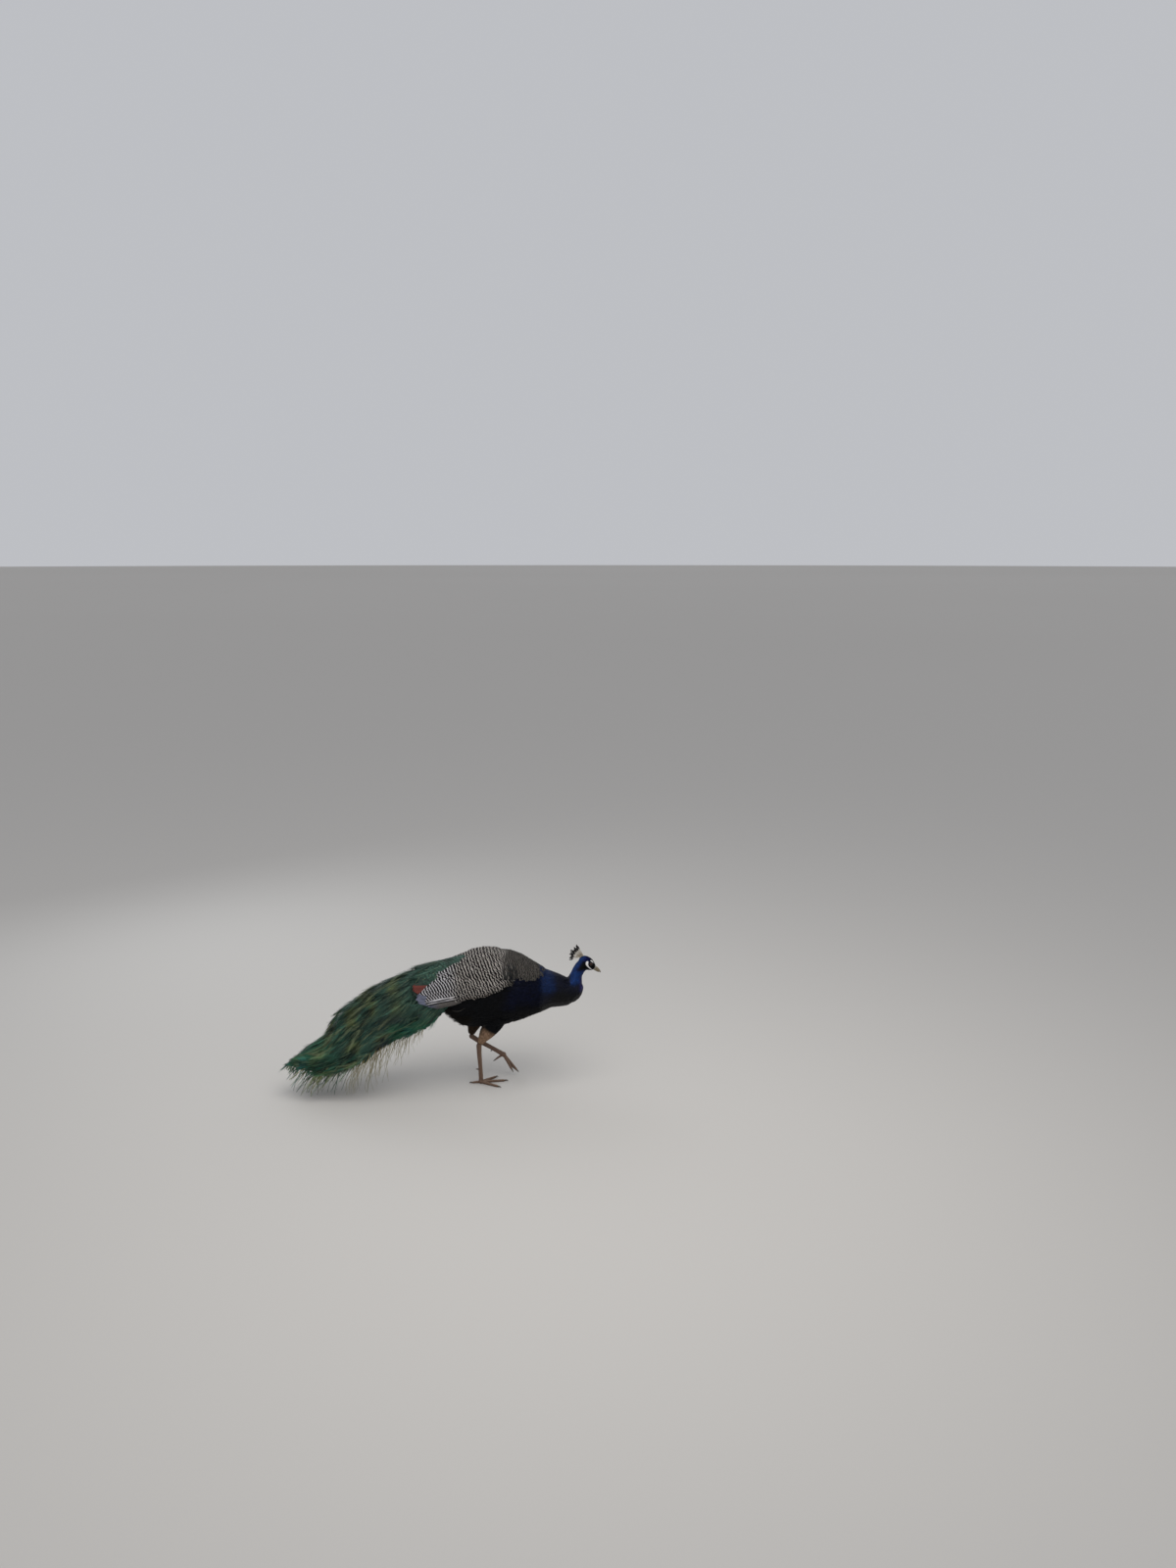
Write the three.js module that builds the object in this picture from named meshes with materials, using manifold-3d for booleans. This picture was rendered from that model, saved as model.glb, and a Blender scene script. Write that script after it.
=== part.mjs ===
// An Indian peacock, life size, walking: the right foot stands, the left one swings forward with its toe
// tips just off the floor, the neck is drawn down and forward, and the short train hangs behind like a
// cloak.
//
// Millimetres. +X runs to the bill, +Y to the bird's left, +Z up. The origin is the middle of the standing
// sole.
import * as THREE from "three";
import { mergeVertices } from "three/addons/utils/BufferGeometryUtils.js";
import Module from "manifold-3d";

const wasm = await Module();
wasm.setup();

// ---------------------------------------- driving sizes
const GAP = 0.35; // clearance between neighbouring solids
const DEG = Math.PI / 180;

// Stations of the plumage form. Each row: x, height of the section's middle, half height, half width.
const FORM = [
  { x: -432, z: 92, tall: 199, wide: 94 },
  { x: -394, z: 112, tall: 208, wide: 99 },
  { x: -333, z: 163, tall: 190, wide: 102 },
  { x: -272, z: 199, tall: 178, wide: 100 },
  { x: -210, z: 213, tall: 190, wide: 92 },
  { x: -150, z: 236, tall: 178, wide: 83 },
  { x: -100, z: 293, tall: 132, wide: 83 },
  { x: -60, z: 318, tall: 111, wide: 86 },
  { x: -20, z: 320, tall: 122, wide: 89 },
  { x: 20, z: 322, tall: 127, wide: 90 },
  { x: 60, z: 322, tall: 124, wide: 90 },
  { x: 98, z: 321, tall: 115, wide: 88 },
  { x: 128, z: 319, tall: 106, wide: 84 },
  { x: 159, z: 315, tall: 90, wide: 77 },
  { x: 190, z: 309, tall: 75, wide: 68 },
  { x: 222, z: 309, tall: 61, wide: 58 },
  { x: 253, z: 304, tall: 54, wide: 50 },
  { x: 278, z: 297, tall: 46, wide: 43 },
  { x: 303, z: 298, tall: 39, wide: 36 },
  { x: 318, z: 301, tall: 30, wide: 28 },
  { x: 328, z: 304, tall: 18, wide: 17 },
  { x: 333, z: 306, tall: 6, wide: 6 },
];

// The flesh of the rump leaves the plumage form behind the hips and tapers to the root of the tail.
const RUMP = [
  { x: -168, z: 349, tall: 8, wide: 9 },
  { x: -155, z: 345, tall: 30, wide: 30 },
  { x: -130, z: 338, tall: 60, wide: 52 },
  { x: -100, z: 330, tall: 86, wide: 70 },
  { x: -60, z: 318, tall: 111, wide: 86 },
];

// The longest train feathers show below and behind the others. Same columns as FORM, arch only.
const TIPS = [
  { x: -600, z: 84, tall: 20, wide: 20 },
  { x: -552, z: 78, tall: 62, wide: 54 },
  { x: -503, z: 78, tall: 96, wide: 71 },
  { x: -459, z: 86, tall: 126, wide: 67 },
  { x: -420, z: 108, tall: 136, wide: 64 },
  { x: -375, z: 130, tall: 146, wide: 62 },
];

// The upper neck rises out of the crop to the head. Each row, numbered by i: middle of the ring, half depth,
// half width, and how far its axis leans forward in degrees.
const NECK = [
  { i: 0, x: 292, z: 292, deep: 33, wide: 32, lean: 12 },
  { i: 1, x: 299, z: 316, deep: 31, wide: 29, lean: 16 },
  { i: 2, x: 306, z: 338, deep: 23.5, wide: 22, lean: 18 },
  { i: 3, x: 312, z: 357, deep: 19, wide: 17, lean: 24 },
  { i: 4, x: 320.5, z: 372.5, deep: 20, wide: 15.8, lean: 34 },
  { i: 5, x: 333, z: 387, deep: 19.5, wide: 14.4, lean: 52 },
];

// The head has its own axis, which points down and forward. Rows: distance along it, centre's offset from
// it, half sizes.
const HEAD_AT = new THREE.Vector3(343, 0, 387);
const HEAD_PITCH = 36;
const HEAD = [
  { t: -29, n: 3, tall: 5, wide: 5 },
  { t: -25, n: 3, tall: 12, wide: 10 },
  { t: -16, n: 3.5, tall: 17.6, wide: 13.4 },
  { t: -6, n: 3.4, tall: 20, wide: 15 },
  { t: 4, n: 2.6, tall: 20, wide: 15 },
  { t: 14, n: 1.8, tall: 17.6, wide: 13.2 },
  { t: 22, n: 1.8, tall: 13.6, wide: 10.4 },
  { t: 28, n: 2.4, tall: 9.4, wide: 7.4 },
];

// The bill, along the head's axis. The upper half is taller, drops at its end and hooks over the lower one.
const BILL = {
  start: 27,
  tip: 56,
  gape: 1.6,
  baseTall: 9,
  baseDeep: 5.6,
  baseWide: 6.6,
  drop: 1.2,
  hook: 5,
};
const EYE = { t: 9.5, n: 9, side: 9.6, radius: 5.4 };

// The crest: a fan of plumes between two angles, from roots at two places along the head's axis.
const CREST = {
  plumes: 10,
  from: 116,
  to: 190,
  rootFront: -24,
  rootBack: -27.5,
  length: 42,
  spread: 13,
  vane: 11,
  vaneHalf: 3.2,
  shaftHalf: 0.7,
  thick: 0.62,
  padRadius: 4,
};

// Legs: knee, ankle (hock) and the hub where the toes meet.
const STANDING = {
  side: "right",
  knee: new THREE.Vector3(60, -44, 246),
  hock: new THREE.Vector3(-6, -11, 137),
  hub: new THREE.Vector3(0, 0, 7.2),
};
const SWINGING = {
  side: "left",
  knee: new THREE.Vector3(6, 46, 246),
  hock: new THREE.Vector3(-30, 38, 147),
  hub: new THREE.Vector3(76, 35, 78),
};
const TOE_NAMES = ["inner", "middle", "outer", "hind"];
const TOE_LENGTH = { inner: 54, middle: 72, outer: 60, hind: 25 };
const TOE_TURN = { inner: 34, middle: 2, outer: -36, hind: 176 }; // from straight ahead to the bird's left
const PAD = 8.8; // radius of the ball of the foot, where the toes meet
const TOE_RADII = [5.4, 4.9, 4.3, 3.8]; // from the hub to the claw
const HIND_SLIM = 0.8; // the hind toe's thickness against the others
const SOLE_SINK = 0.9; // how much of a resting toe's roundness is flattened against the floor
const CLAW = { length: 13, hindLength: 9.8, radii: [2.7, 2.1, 0.55], arch: 0.9 };
const THIGH = { radii: [32, 29, 18.5, 9.6], ends: 0.93, flatten: 0.9 };
const SHANK = { radii: [7.6, 9, 6.6, 7.6], starts: 0.95, flatten: 0.9 };
const SPUR = { down: 0.68, length: 15, rise: 3, radii: [3.4, 2.4, 0.6] };

// The lifted foot hangs: its front toes droop and close, and the hind toe trails behind.
const HANGING = {
  inner: [0.46, -0.2, -0.86],
  middle: [0.6, 0.02, -0.8],
  outer: [0.5, 0.22, -0.84],
  hind: [-0.92, -0.08, -0.36],
};

// Edges of the feather tracts on the body's side. Each row: x, degrees down from the middle of the back.
const MANTLE_EDGE_ROWS = [
  [86, 62],
  [105, 58],
  [121, 56],
  [136, 58],
  [149, 62],
  [167, 56],
  [190, 47],
  [204, 33],
  [211, 14],
];
const SHOULDER_EDGE_ROWS = [
  [-150, 42],
  [-118, 43.5],
  [-60, 53],
  [-15, 62],
  [29, 66.5],
  [66, 65.5],
  [86, 63.5],
  [104, 64],
];
const WING_EDGE_ROWS = [
  [-200, 57],
  [-190, 61],
  [-171, 66],
  [-154, 70],
  [-123, 78],
  [-92, 87],
  [-62, 89],
  [-20, 85],
  [0, 87],
  [34, 86],
  [67, 76],
  [95, 72],
  [104, 67],
];
const WING_BACK_ROWS = [
  [-200, 54],
  [-190, 51],
  [-161, 45],
  [-150, 42],
  [-118, 43.5],
];
// How far back the shoulder feathers reach. Each row: share of the way down from the middle of the back, x.
const SCAPULAR_END_ROWS = [
  [0, -26],
  [0.3, -45],
  [0.42, -64],
  [0.62, -86],
  [0.8, -121],
  [1, -122],
];

// Layers of the train, from the scaly feathers of the back to the longest ones, each under the one before.
const TRAIN_LAYERS = [
  { name: "train_cape", from: 12, to: -186, half: 88, outer: 0, deep: 8, reach: 16, droop: 10 },
  { name: "train_middle", from: -108, to: -330, half: 90, outer: -9.4, deep: 8, reach: 22, droop: 16 },
  { name: "train_lower", from: -222, to: -412, half: 90, outer: -18.8, deep: 9, reach: 26, droop: 20 },
];
const TRAIN_END = { from: -375, to: -580, half: 88, cornersBack: 74, reach: 24, deep: 9 };
const TRAIN_TEETH = 8; // feather ends across each layer

// The true tail: a flat tent of stiff feathers under the train.
const TAIL = {
  root: -172,
  tip: -408,
  rootZ: 341,
  tipZ: 190,
  rootHalf: 17,
  tipHalf: 34,
  slope: 0.42,
  deep: 4,
};

// Planes that part the flesh: a point in the middle plane and the way to the part beyond it.
const CUTS = {
  rump: { at: new THREE.Vector3(-70, 0, 320), way: new THREE.Vector3(-1, 0, 0.12).normalize() },
  breast: { at: new THREE.Vector3(118, 0, 320), way: new THREE.Vector3(1, 0, -0.25).normalize() },
  neckBase: { at: new THREE.Vector3(212, 0, 310), way: new THREE.Vector3(1, 0, -0.1).normalize() },
  crook: { at: new THREE.Vector3(279, 0, 345), way: new THREE.Vector3(45, 0, 55).normalize() },
  head: { at: new THREE.Vector3(325, 0, 375), way: new THREE.Vector3(0.62, 0, 0.78).normalize() },
};

// ---------------------------------------- colours and materials
const paint = (color, roughness, metalness = 0) =>
  new THREE.MeshStandardMaterial({ color, roughness, metalness });
const FINISH = {
  blue: paint(0x10309a, 0.4, 0.3),
  dark: paint(0x10141c, 0.6),
  barred: paint(0xa89c86, 0.8),
  rufous: paint(0xa1502f, 0.8),
  green: paint(0x1f6a3c, 0.45, 0.3),
  brown: paint(0x4a4034, 0.8),
  buff: paint(0xc9b493, 0.8),
  leg: paint(0x8a7468, 0.6),
  horn: paint(0x8d8468, 0.45),
  eye: paint(0x1a0d06, 0.1),
};

// ---------------------------------------- making and joining solids
// A closed mesh, given as points and triangles, as a solid whose faces point out.
function solidOf(points, triangles) {
  const raw = new THREE.BufferGeometry().setFromPoints(points).setIndex(triangles);
  const merged = mergeVertices(raw, 1e-4);
  const vertProperties = new Float32Array(merged.attributes.position.array);
  const faces = new Uint32Array(merged.index.array);
  const build = () => new wasm.Manifold(new wasm.Mesh({ numProp: 3, vertProperties, triVerts: faces }));
  let made = build();
  if (made.volume() < 0) {
    for (let i = 0; i < faces.length; i += 3) [faces[i + 1], faces[i + 2]] = [faces[i + 2], faces[i + 1]];
    made = build();
  }
  return made;
}

// A skin over rings of equally many points, closed by a fan at each end.
function loft(rings) {
  const n = rings[0].length;
  const points = rings.flat();
  const triangles = [];
  for (let i = 0; i + 1 < rings.length; i++)
    for (let j = 0; j < n; j++) {
      const [a, b] = [i * n + j, i * n + ((j + 1) % n)];
      triangles.push(a, b, a + n, b, b + n, a + n);
    }
  for (const i of [0, rings.length - 1]) {
    const hub = points.length;
    points.push(rings[i].reduce((sum, p) => sum.add(p), new THREE.Vector3()).divideScalar(n));
    for (let j = 0; j < n; j++) {
      const [a, b] = [i * n + j, i * n + ((j + 1) % n)];
      triangles.push(...(i ? [a, b, hub] : [b, a, hub]));
    }
  }
  return solidOf(points, triangles);
}

// A patch of shell: place(t, v, side) gives a point, with t and v from 0 to 1, and side 0 inside or 1
// outside.
function shell(stepsT, stepsV, place) {
  const points = [];
  const triangles = [];
  const at = (side, i, j) => side * (stepsT + 1) * (stepsV + 1) + i * (stepsV + 1) + j;
  for (const side of [0, 1])
    for (let i = 0; i <= stepsT; i++)
      for (let j = 0; j <= stepsV; j++) points.push(place(i / stepsT, j / stepsV, side));
  const quad = (a, b, c, d) => triangles.push(a, b, c, a, c, d);
  for (let i = 0; i < stepsT; i++)
    for (let j = 0; j < stepsV; j++) {
      quad(at(0, i, j), at(0, i, j + 1), at(0, i + 1, j + 1), at(0, i + 1, j));
      quad(at(1, i, j), at(1, i + 1, j), at(1, i + 1, j + 1), at(1, i, j + 1));
    }
  for (let i = 0; i < stepsT; i++) {
    quad(at(0, i, 0), at(0, i + 1, 0), at(1, i + 1, 0), at(1, i, 0));
    quad(at(0, i, stepsV), at(1, i, stepsV), at(1, i + 1, stepsV), at(0, i + 1, stepsV));
  }
  for (let j = 0; j < stepsV; j++) {
    quad(at(0, 0, j), at(1, 0, j), at(1, 0, j + 1), at(0, 0, j + 1));
    quad(at(0, stepsT, j), at(0, stepsT, j + 1), at(1, stepsT, j + 1), at(1, stepsT, j));
  }
  return solidOf(points, triangles);
}

const joined = (solids) => solids.reduce((sum, s) => sum.add(s));
// What lies on the far side of a plane through a point, a clearance away from it.
const beyond = (solid, point, normal) =>
  solid.trimByPlane(normal.toArray(), normal.dot(point) + GAP / 2);

const group = new THREE.Group();
// Adds a solid to the model as a named mesh.
function part(name, solid, material) {
  const m = solid.getMesh();
  const geometry = new THREE.BufferGeometry();
  geometry.setAttribute("position", new THREE.BufferAttribute(new Float32Array(m.vertProperties), 3));
  geometry.setIndex(new THREE.BufferAttribute(new Uint32Array(m.triVerts), 1));
  geometry.computeVertexNormals();
  const mesh = new THREE.Mesh(geometry, material);
  mesh.name = name;
  group.add(mesh);
  return solid;
}

// ---------------------------------------- smooth station tables
const lerp = THREE.MathUtils.lerp;

// One column of a station table as a smooth function that never overshoots its stations.
function column(rows, key, over = "x") {
  const xs = rows.map((r) => r[over]);
  const ys = rows.map((r) => r[key]);
  const slopes = xs.slice(1).map((x, i) => (ys[i + 1] - ys[i]) / (x - xs[i]));
  const tangents = ys.map((_, i) => {
    const [before, after] = [slopes[i - 1] ?? slopes[i], slopes[i] ?? slopes[i - 1]];
    return before * after <= 0 ? 0 : (2 * before * after) / (before + after);
  });
  return (x) => {
    const at = xs.findIndex((next, k) => k > 0 && x <= next);
    const i = at < 0 ? xs.length - 2 : at - 1;
    const h = xs[i + 1] - xs[i];
    const s = THREE.MathUtils.clamp((x - xs[i]) / h, 0, 1);
    const [s2, s3] = [s * s, s * s * s];
    const bend = (s3 - 2 * s2 + s) * h * tangents[i] + (s3 - s2) * h * tangents[i + 1];
    return (2 * s3 - 3 * s2 + 1) * ys[i] + bend + (3 * s2 - 2 * s3) * ys[i + 1];
  };
}

const columns = (rows) => Object.fromEntries(["z", "tall", "wide"].map((key) => [key, column(rows, key)]));
const form = columns(FORM);
const rump = columns(RUMP);
const tips = columns(TIPS);

// A point on the form at x and at an angle from straight up, positive to the bird's left, moved out by
// offset.
function onForm(f, x, angle, offset = 0) {
  const [z, tall, wide] = [f.z(x), f.tall(x), f.wide(x)];
  const [s, c] = [Math.sin(angle), Math.cos(angle)];
  const out = new THREE.Vector3(0, s / wide, c / tall).normalize();
  return new THREE.Vector3(x, wide * s, z + tall * c).addScaledVector(out, offset);
}

const spaced = (from, to, steps) => Array.from({ length: steps + 1 }, (_, i) => lerp(from, to, i / steps));
const ringOf = (f, x, sides, offset = 0) =>
  Array.from({ length: sides }, (_, j) => onForm(f, x, (j * 2 * Math.PI) / sides, offset));

// ---------------------------------------- flesh: trunk, neck and head, made whole
const TRUNK_SIDES = 18;
const HEAD_SIDES = 14;

// `loose` swells the trunk by a clearance, to cut whatever lies on it.
function trunkWhole(loose = 0) {
  const behind = [-168, -162, -150, -128, -96];
  const front = [-60, -26, 10, 46, 80, 110, 138, 166, 196, 226, 256, 282];
  const cap = [304, 318, 327, 333];
  return loft([
    ...behind.map((x) => ringOf(rump, x, TRUNK_SIDES, loose)),
    ...[...front, ...cap].map((x) => ringOf(form, x, TRUNK_SIDES, loose)),
  ]);
}

// A ring across an axis in the XZ plane that leans forward from straight up by `lean` degrees.
function leaningRing(x, z, lean, deep, wide, sides) {
  const across = new THREE.Vector3(Math.cos(lean * DEG), 0, -Math.sin(lean * DEG));
  return Array.from({ length: sides }, (_, j) => {
    const a = (j * 2 * Math.PI) / sides;
    return new THREE.Vector3(x, wide * Math.sin(a), z).addScaledVector(across, deep * Math.cos(a));
  });
}

function upperNeck(loose = 0) {
  const grow = (r) => ({ ...r, deep: r.deep + loose, wide: r.wide + loose });
  const rows = NECK.map(grow);
  const f = Object.fromEntries(["x", "z", "deep", "wide", "lean"].map((k) => [k, column(rows, k, "i")]));
  return loft(
    spaced(0, rows.length - 1, 7).map((i) =>
      leaningRing(f.x(i), f.z(i), f.lean(i), f.deep(i), f.wide(i), HEAD_SIDES),
    ),
  );
}

const HEAD_AXIS = new THREE.Vector3(Math.cos(HEAD_PITCH * DEG), 0, -Math.sin(HEAD_PITCH * DEG));
const HEAD_UP = new THREE.Vector3(Math.sin(HEAD_PITCH * DEG), 0, Math.cos(HEAD_PITCH * DEG));
// A point in the head's own frame: t along the axis, n towards the crown, y to the bird's left.
const inHead = (t, n, y) =>
  HEAD_AT.clone()
    .addScaledVector(HEAD_AXIS, t)
    .addScaledVector(HEAD_UP, n)
    .add(new THREE.Vector3(0, y, 0));

const headForm = Object.fromEntries(["n", "tall", "wide"].map((k) => [k, column(HEAD, k, "t")]));
function skull(loose = 0) {
  const stations = [-29 - loose, -27, -22, -14, -4, 6, 14, 21, 28];
  return loft(
    stations.map((t) =>
      Array.from({ length: HEAD_SIDES }, (_, j) => {
        const a = (j * 2 * Math.PI) / HEAD_SIDES;
        const [tall, wide] = [headForm.tall(t) + loose, headForm.wide(t) + loose];
        return inHead(t, headForm.n(t) + tall * Math.cos(a), wide * Math.sin(a));
      }),
    ),
  );
}

// A faceted ball.
function ball(centre, radius, detail = 1) {
  const g = new THREE.IcosahedronGeometry(radius, detail).translate(...centre.toArray());
  g.deleteAttribute("normal");
  g.deleteAttribute("uv");
  const merged = mergeVertices(g, 1e-4);
  const p = merged.attributes.position;
  const points = Array.from({ length: p.count }, (_, i) => new THREE.Vector3().fromBufferAttribute(p, i));
  return solidOf(points, [...merged.index.array]);
}

const flesh = joined([trunkWhole(), upperNeck(), skull()]);

// ---------------------------------------- bill, eyes and crest
// Half of the bill. `sign` is +1 above the gape and -1 below it.
function billHalf(sign) {
  const { start, tip, gape, baseTall, baseDeep, baseWide, drop, hook } = BILL;
  const end = sign > 0 ? tip : tip - hook;
  const height = sign > 0 ? baseTall : baseDeep;
  const arc = 8; // flats round the half
  const rings = spaced(0, 1, 6).map((s) => {
    const t = lerp(start, end, s);
    const left = Math.sqrt(Math.max(1 - s * s, 0.012)); // the profile ends in a small round
    const middle = gape - drop * s ** 2.2 + (sign * GAP) / 2;
    return spaced(0, Math.PI, arc).map((a) =>
      inHead(t, middle + sign * height * left * Math.sin(a), baseWide * (1 - 0.8 * s) * Math.cos(a)),
    );
  });
  return loft(rings);
}

const eyes = [1, -1].map((side) => ({
  name: side > 0 ? "eye_left" : "eye_right",
  centre: inHead(EYE.t, EYE.n, side * EYE.side),
}));

// Where the crest grows: a point on the crown's middle line, `deep` below the surface.
const crown = (t, deep) => inHead(t, headForm.n(t) + headForm.tall(t) - deep, 0);
const crestRoot = (share, deep) => crown(lerp(CREST.rootFront, CREST.rootBack, share), deep);

// One crest plume: a bare shaft with a small flat vane at its end, fanned in the middle plane of the head.
function plume(i) {
  const share = i / (CREST.plumes - 1);
  const angle = lerp(CREST.from, CREST.to, share) * DEG;
  const side = (i % 2 ? 1 : -1) * CREST.spread * DEG * (0.35 + 0.65 * Math.abs(Math.sin(i * 2.4)));
  const reachOut = Math.cos(side);
  const way = new THREE.Vector3(Math.cos(angle) * reachOut, Math.sin(side), Math.sin(angle) * reachOut);
  const flat = new THREE.Vector3(-Math.sin(angle), 0, Math.cos(angle));
  const thick = new THREE.Vector3().crossVectors(way, flat).normalize();
  const root = crestRoot(share, 0.5);
  const reach = CREST.length * (0.86 + 0.14 * Math.cos(i * 1.7));
  const bare = reach - CREST.vane;
  const profile = [
    { s: 0, half: CREST.shaftHalf },
    { s: bare, half: CREST.shaftHalf },
    { s: bare + CREST.vane / 2, half: CREST.vaneHalf },
    { s: reach, half: CREST.shaftHalf },
  ];
  const corners = [
    [1, -0.5],
    [0, 1],
    [-1, -0.5],
  ];
  return loft(
    profile.map(({ s, half }) =>
      corners.map(([f, g]) =>
        root
          .clone()
          .addScaledVector(way, s)
          .addScaledVector(flat, f * half)
          .addScaledVector(thick, g * CREST.thick),
      ),
    ),
  );
}

// The plumes grow from one low pad along the crown.
function crest() {
  const { padRadius } = CREST;
  const pads = spaced(0, 1, 2).map((share) => ball(crestRoot(share, padRadius / 2), padRadius, 0));
  return joined([...pads, ...Array.from({ length: CREST.plumes }, (_, i) => plume(i))]);
}

// ---------------------------------------- wings and train: shells that lie on the form
// A patch between the angles low(x) and high(x), running back from x `from(v)` to `to(v)`, and between two
// offsets from the form. Its outer side sinks to the offset `rim` along the edges. `grow` adds a clearance
// all round, for cutting what lies against the patch.
function patch(f, { from, to, low, high, inner, outer, rim, stepsT, stepsV, grow = 0 }) {
  const outward = (s) => (s === 0 ? -1 : s === 1 ? 1 : 0);
  return shell(stepsT, stepsV, (t, v, side) => {
    const x = lerp(from(v), to(v), t);
    const angle = (lerp(low(x), high(x), v) + grow * outward(v)) * DEG;
    const full = Math.min(1, 4 * Math.min(v, 1 - v, 1 - t, t + 0.1));
    return onForm(f, x - 2 * grow * outward(t), angle, side ? lerp(rim, outer, full) + grow : inner - grow);
  });
}

// Feather ends: the edge of a layer steps back and forth across its columns.
const teeth = (v, count, depth) => depth * Math.abs(((v * count) % 1) - 0.5) * 2;

// The edges as smooth functions of x, and the shoulder feathers' ends as one of the share down.
const tableOf = (rows) => column(rows.map(([at, value]) => ({ at, value })), "value", "at");
const mantleEdge = tableOf(MANTLE_EDGE_ROWS);
const shoulderEdge = tableOf(SHOULDER_EDGE_ROWS);
const wingEdge = tableOf(WING_EDGE_ROWS);
const wingBack = tableOf(WING_BACK_ROWS);
const scapularEnds = tableOf(SCAPULAR_END_ROWS);
const UNDER_SKIN = -5; // how deep the patches start, before the trunk is taken out of them

// The same tract on the left (1) or the right (-1) of the body; `down` runs from 0 at its upper edge to 1.
function tract(side, { name, finish, from, to, upper, lower, ...sizes }) {
  const down = (v) => (side > 0 ? v : 1 - v);
  const edges = side > 0 ? { low: upper, high: lower } : { low: (x) => -lower(x), high: (x) => -upper(x) };
  const ends = { from: () => from, to: (v) => to(down(v)) };
  const shape = { ...sizes, ...ends, ...edges, inner: UNDER_SKIN };
  return { name: `wing_${side > 0 ? "left" : "right"}_${name}`, finish, shape };
}

// The folded wing's own end is round: it reaches furthest back a little below its middle.
const WING_END = { x: -162, round: 36 };
const wingEnd = (down) => {
  const turn = Math.min(1, 0.25 + 1.1 * down) * 130 * DEG;
  return WING_END.x - WING_END.round * Math.sin(turn);
};
const WING_ROOT = -118; // behind this x the back edge of the wing is free of the shoulder feathers

const TRACTS = [
  {
    name: "scapulars",
    finish: FINISH.barred,
    outer: 8,
    rim: 2.5,
    stepsT: 4,
    stepsV: 8,
    from: 66,
    to: (down) => scapularEnds(down) - teeth(down, 4, 10),
    upper: () => 1,
    lower: shoulderEdge,
  },
  {
    name: "wing",
    finish: FINISH.barred,
    outer: 9,
    rim: 3,
    stepsT: 6,
    stepsV: 6,
    from: 104,
    to: (down) => wingEnd(down) - teeth(down, 3, 6),
    upper: (x) => (x > WING_ROOT ? shoulderEdge(x) : wingBack(x)) + 0.6,
    lower: wingEdge,
  },
  {
    name: "primaries",
    finish: FINISH.rufous,
    outer: 4.5,
    rim: 2,
    stepsT: 2,
    stepsV: 4,
    from: -148,
    to: (down) => -209 - teeth(down, 2, 6),
    upper: () => 36,
    lower: () => 52,
  },
];

// The coverts end in a scalloped line over the long flight feathers: a thin curtain across the folded wing.
const COVERT_ENDS = {
  x: -60,
  slant: 10,
  scallops: 3,
  depth: 9,
  from: 30,
  to: 110,
  inside: -14,
  outside: 20,
};
function covertEnds(side) {
  const { x: start, slant, scallops, depth, from, to, inside, outside } = COVERT_ENDS;
  return shell(1, 4 * scallops, (t, v, back) => {
    const x = start - slant * v - teeth(v, scallops, depth) - back * GAP;
    return onForm(form, x, side * lerp(from, to, v) * DEG, lerp(inside, outside, t));
  });
}

const MANTLE = {
  from: (v) => 210 - 4 * (2 * v - 1) ** 2,
  to: () => 67,
  low: (x) => -mantleEdge(x),
  high: mantleEdge,
  inner: UNDER_SKIN,
  outer: 8,
  rim: 2.5,
  stepsT: 4,
  stepsV: 8,
};

// The train is narrow where it starts between the wings, and as wide as the body from the hips back.
const spread = (x) => THREE.MathUtils.mapLinear(THREE.MathUtils.clamp(x, -90, 30), 30, -90, 0.3, 1);
const fromMiddle = (v) => Math.abs(2 * v - 1);
function trainShape({ from, to, half, outer, deep, reach, droop }) {
  return {
    from: () => from,
    to: (v) => to - teeth(v, TRAIN_TEETH, reach) - droop * fromMiddle(v),
    low: (x) => -half * spread(x),
    high: (x) => half * spread(x),
    inner: outer - deep,
    outer,
    rim: outer - 0.4 * deep,
    stepsT: 4,
    stepsV: 2 * TRAIN_TEETH,
  };
}

const trainEnd = {
  from: () => TRAIN_END.from,
  to: (v) => {
    const corner = TRAIN_END.cornersBack * fromMiddle(v) ** 1.6;
    return TRAIN_END.to + corner - teeth(v, TRAIN_TEETH, TRAIN_END.reach);
  },
  low: () => -TRAIN_END.half,
  high: () => TRAIN_END.half,
  inner: -TRAIN_END.deep,
  outer: 0,
  rim: -0.4 * TRAIN_END.deep,
  stepsT: 4,
  stepsV: 2 * TRAIN_TEETH,
};

// Half of the true tail, which lies under the train and holds it up.
function tailHalf(side) {
  return shell(4, 8, (t, v, outside) => {
    const x = lerp(TAIL.root, TAIL.tip + 22 * v * v - teeth(v, 4, 10), t);
    const ridge = lerp(TAIL.rootZ, TAIL.tipZ, t ** 1.12);
    const y = side * lerp(GAP, lerp(TAIL.rootHalf, TAIL.tipHalf, t), v);
    return new THREE.Vector3(x, y, ridge - TAIL.slope * Math.abs(y) - (outside ? 0 : TAIL.deep));
  });
}

// ---------------------------------------- legs
// A round tapering limb through points of the given radii.
function limb(points, radii, sides = 12, flatten = 1) {
  const path = new THREE.CatmullRomCurve3(points);
  const rows = radii.map((r, i) => ({ i: i / (radii.length - 1), r }));
  const radius = column(rows, "r", "i");
  const steps = points.length;
  return loft(
    spaced(0, 1, steps).map((s) => {
      const [at, way] = [path.getPoint(s), path.getTangent(s)];
      const side = new THREE.Vector3(0, 1, 0).cross(way).normalize();
      const up = new THREE.Vector3().crossVectors(way, side);
      return Array.from({ length: sides }, (_, j) => {
        const a = ((j + 0.5) * 2 * Math.PI) / sides;
        return at
          .clone()
          .addScaledVector(side, radius(s) * Math.cos(a))
          .addScaledVector(up, flatten * radius(s) * Math.sin(a));
      });
    }),
  );
}

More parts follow.
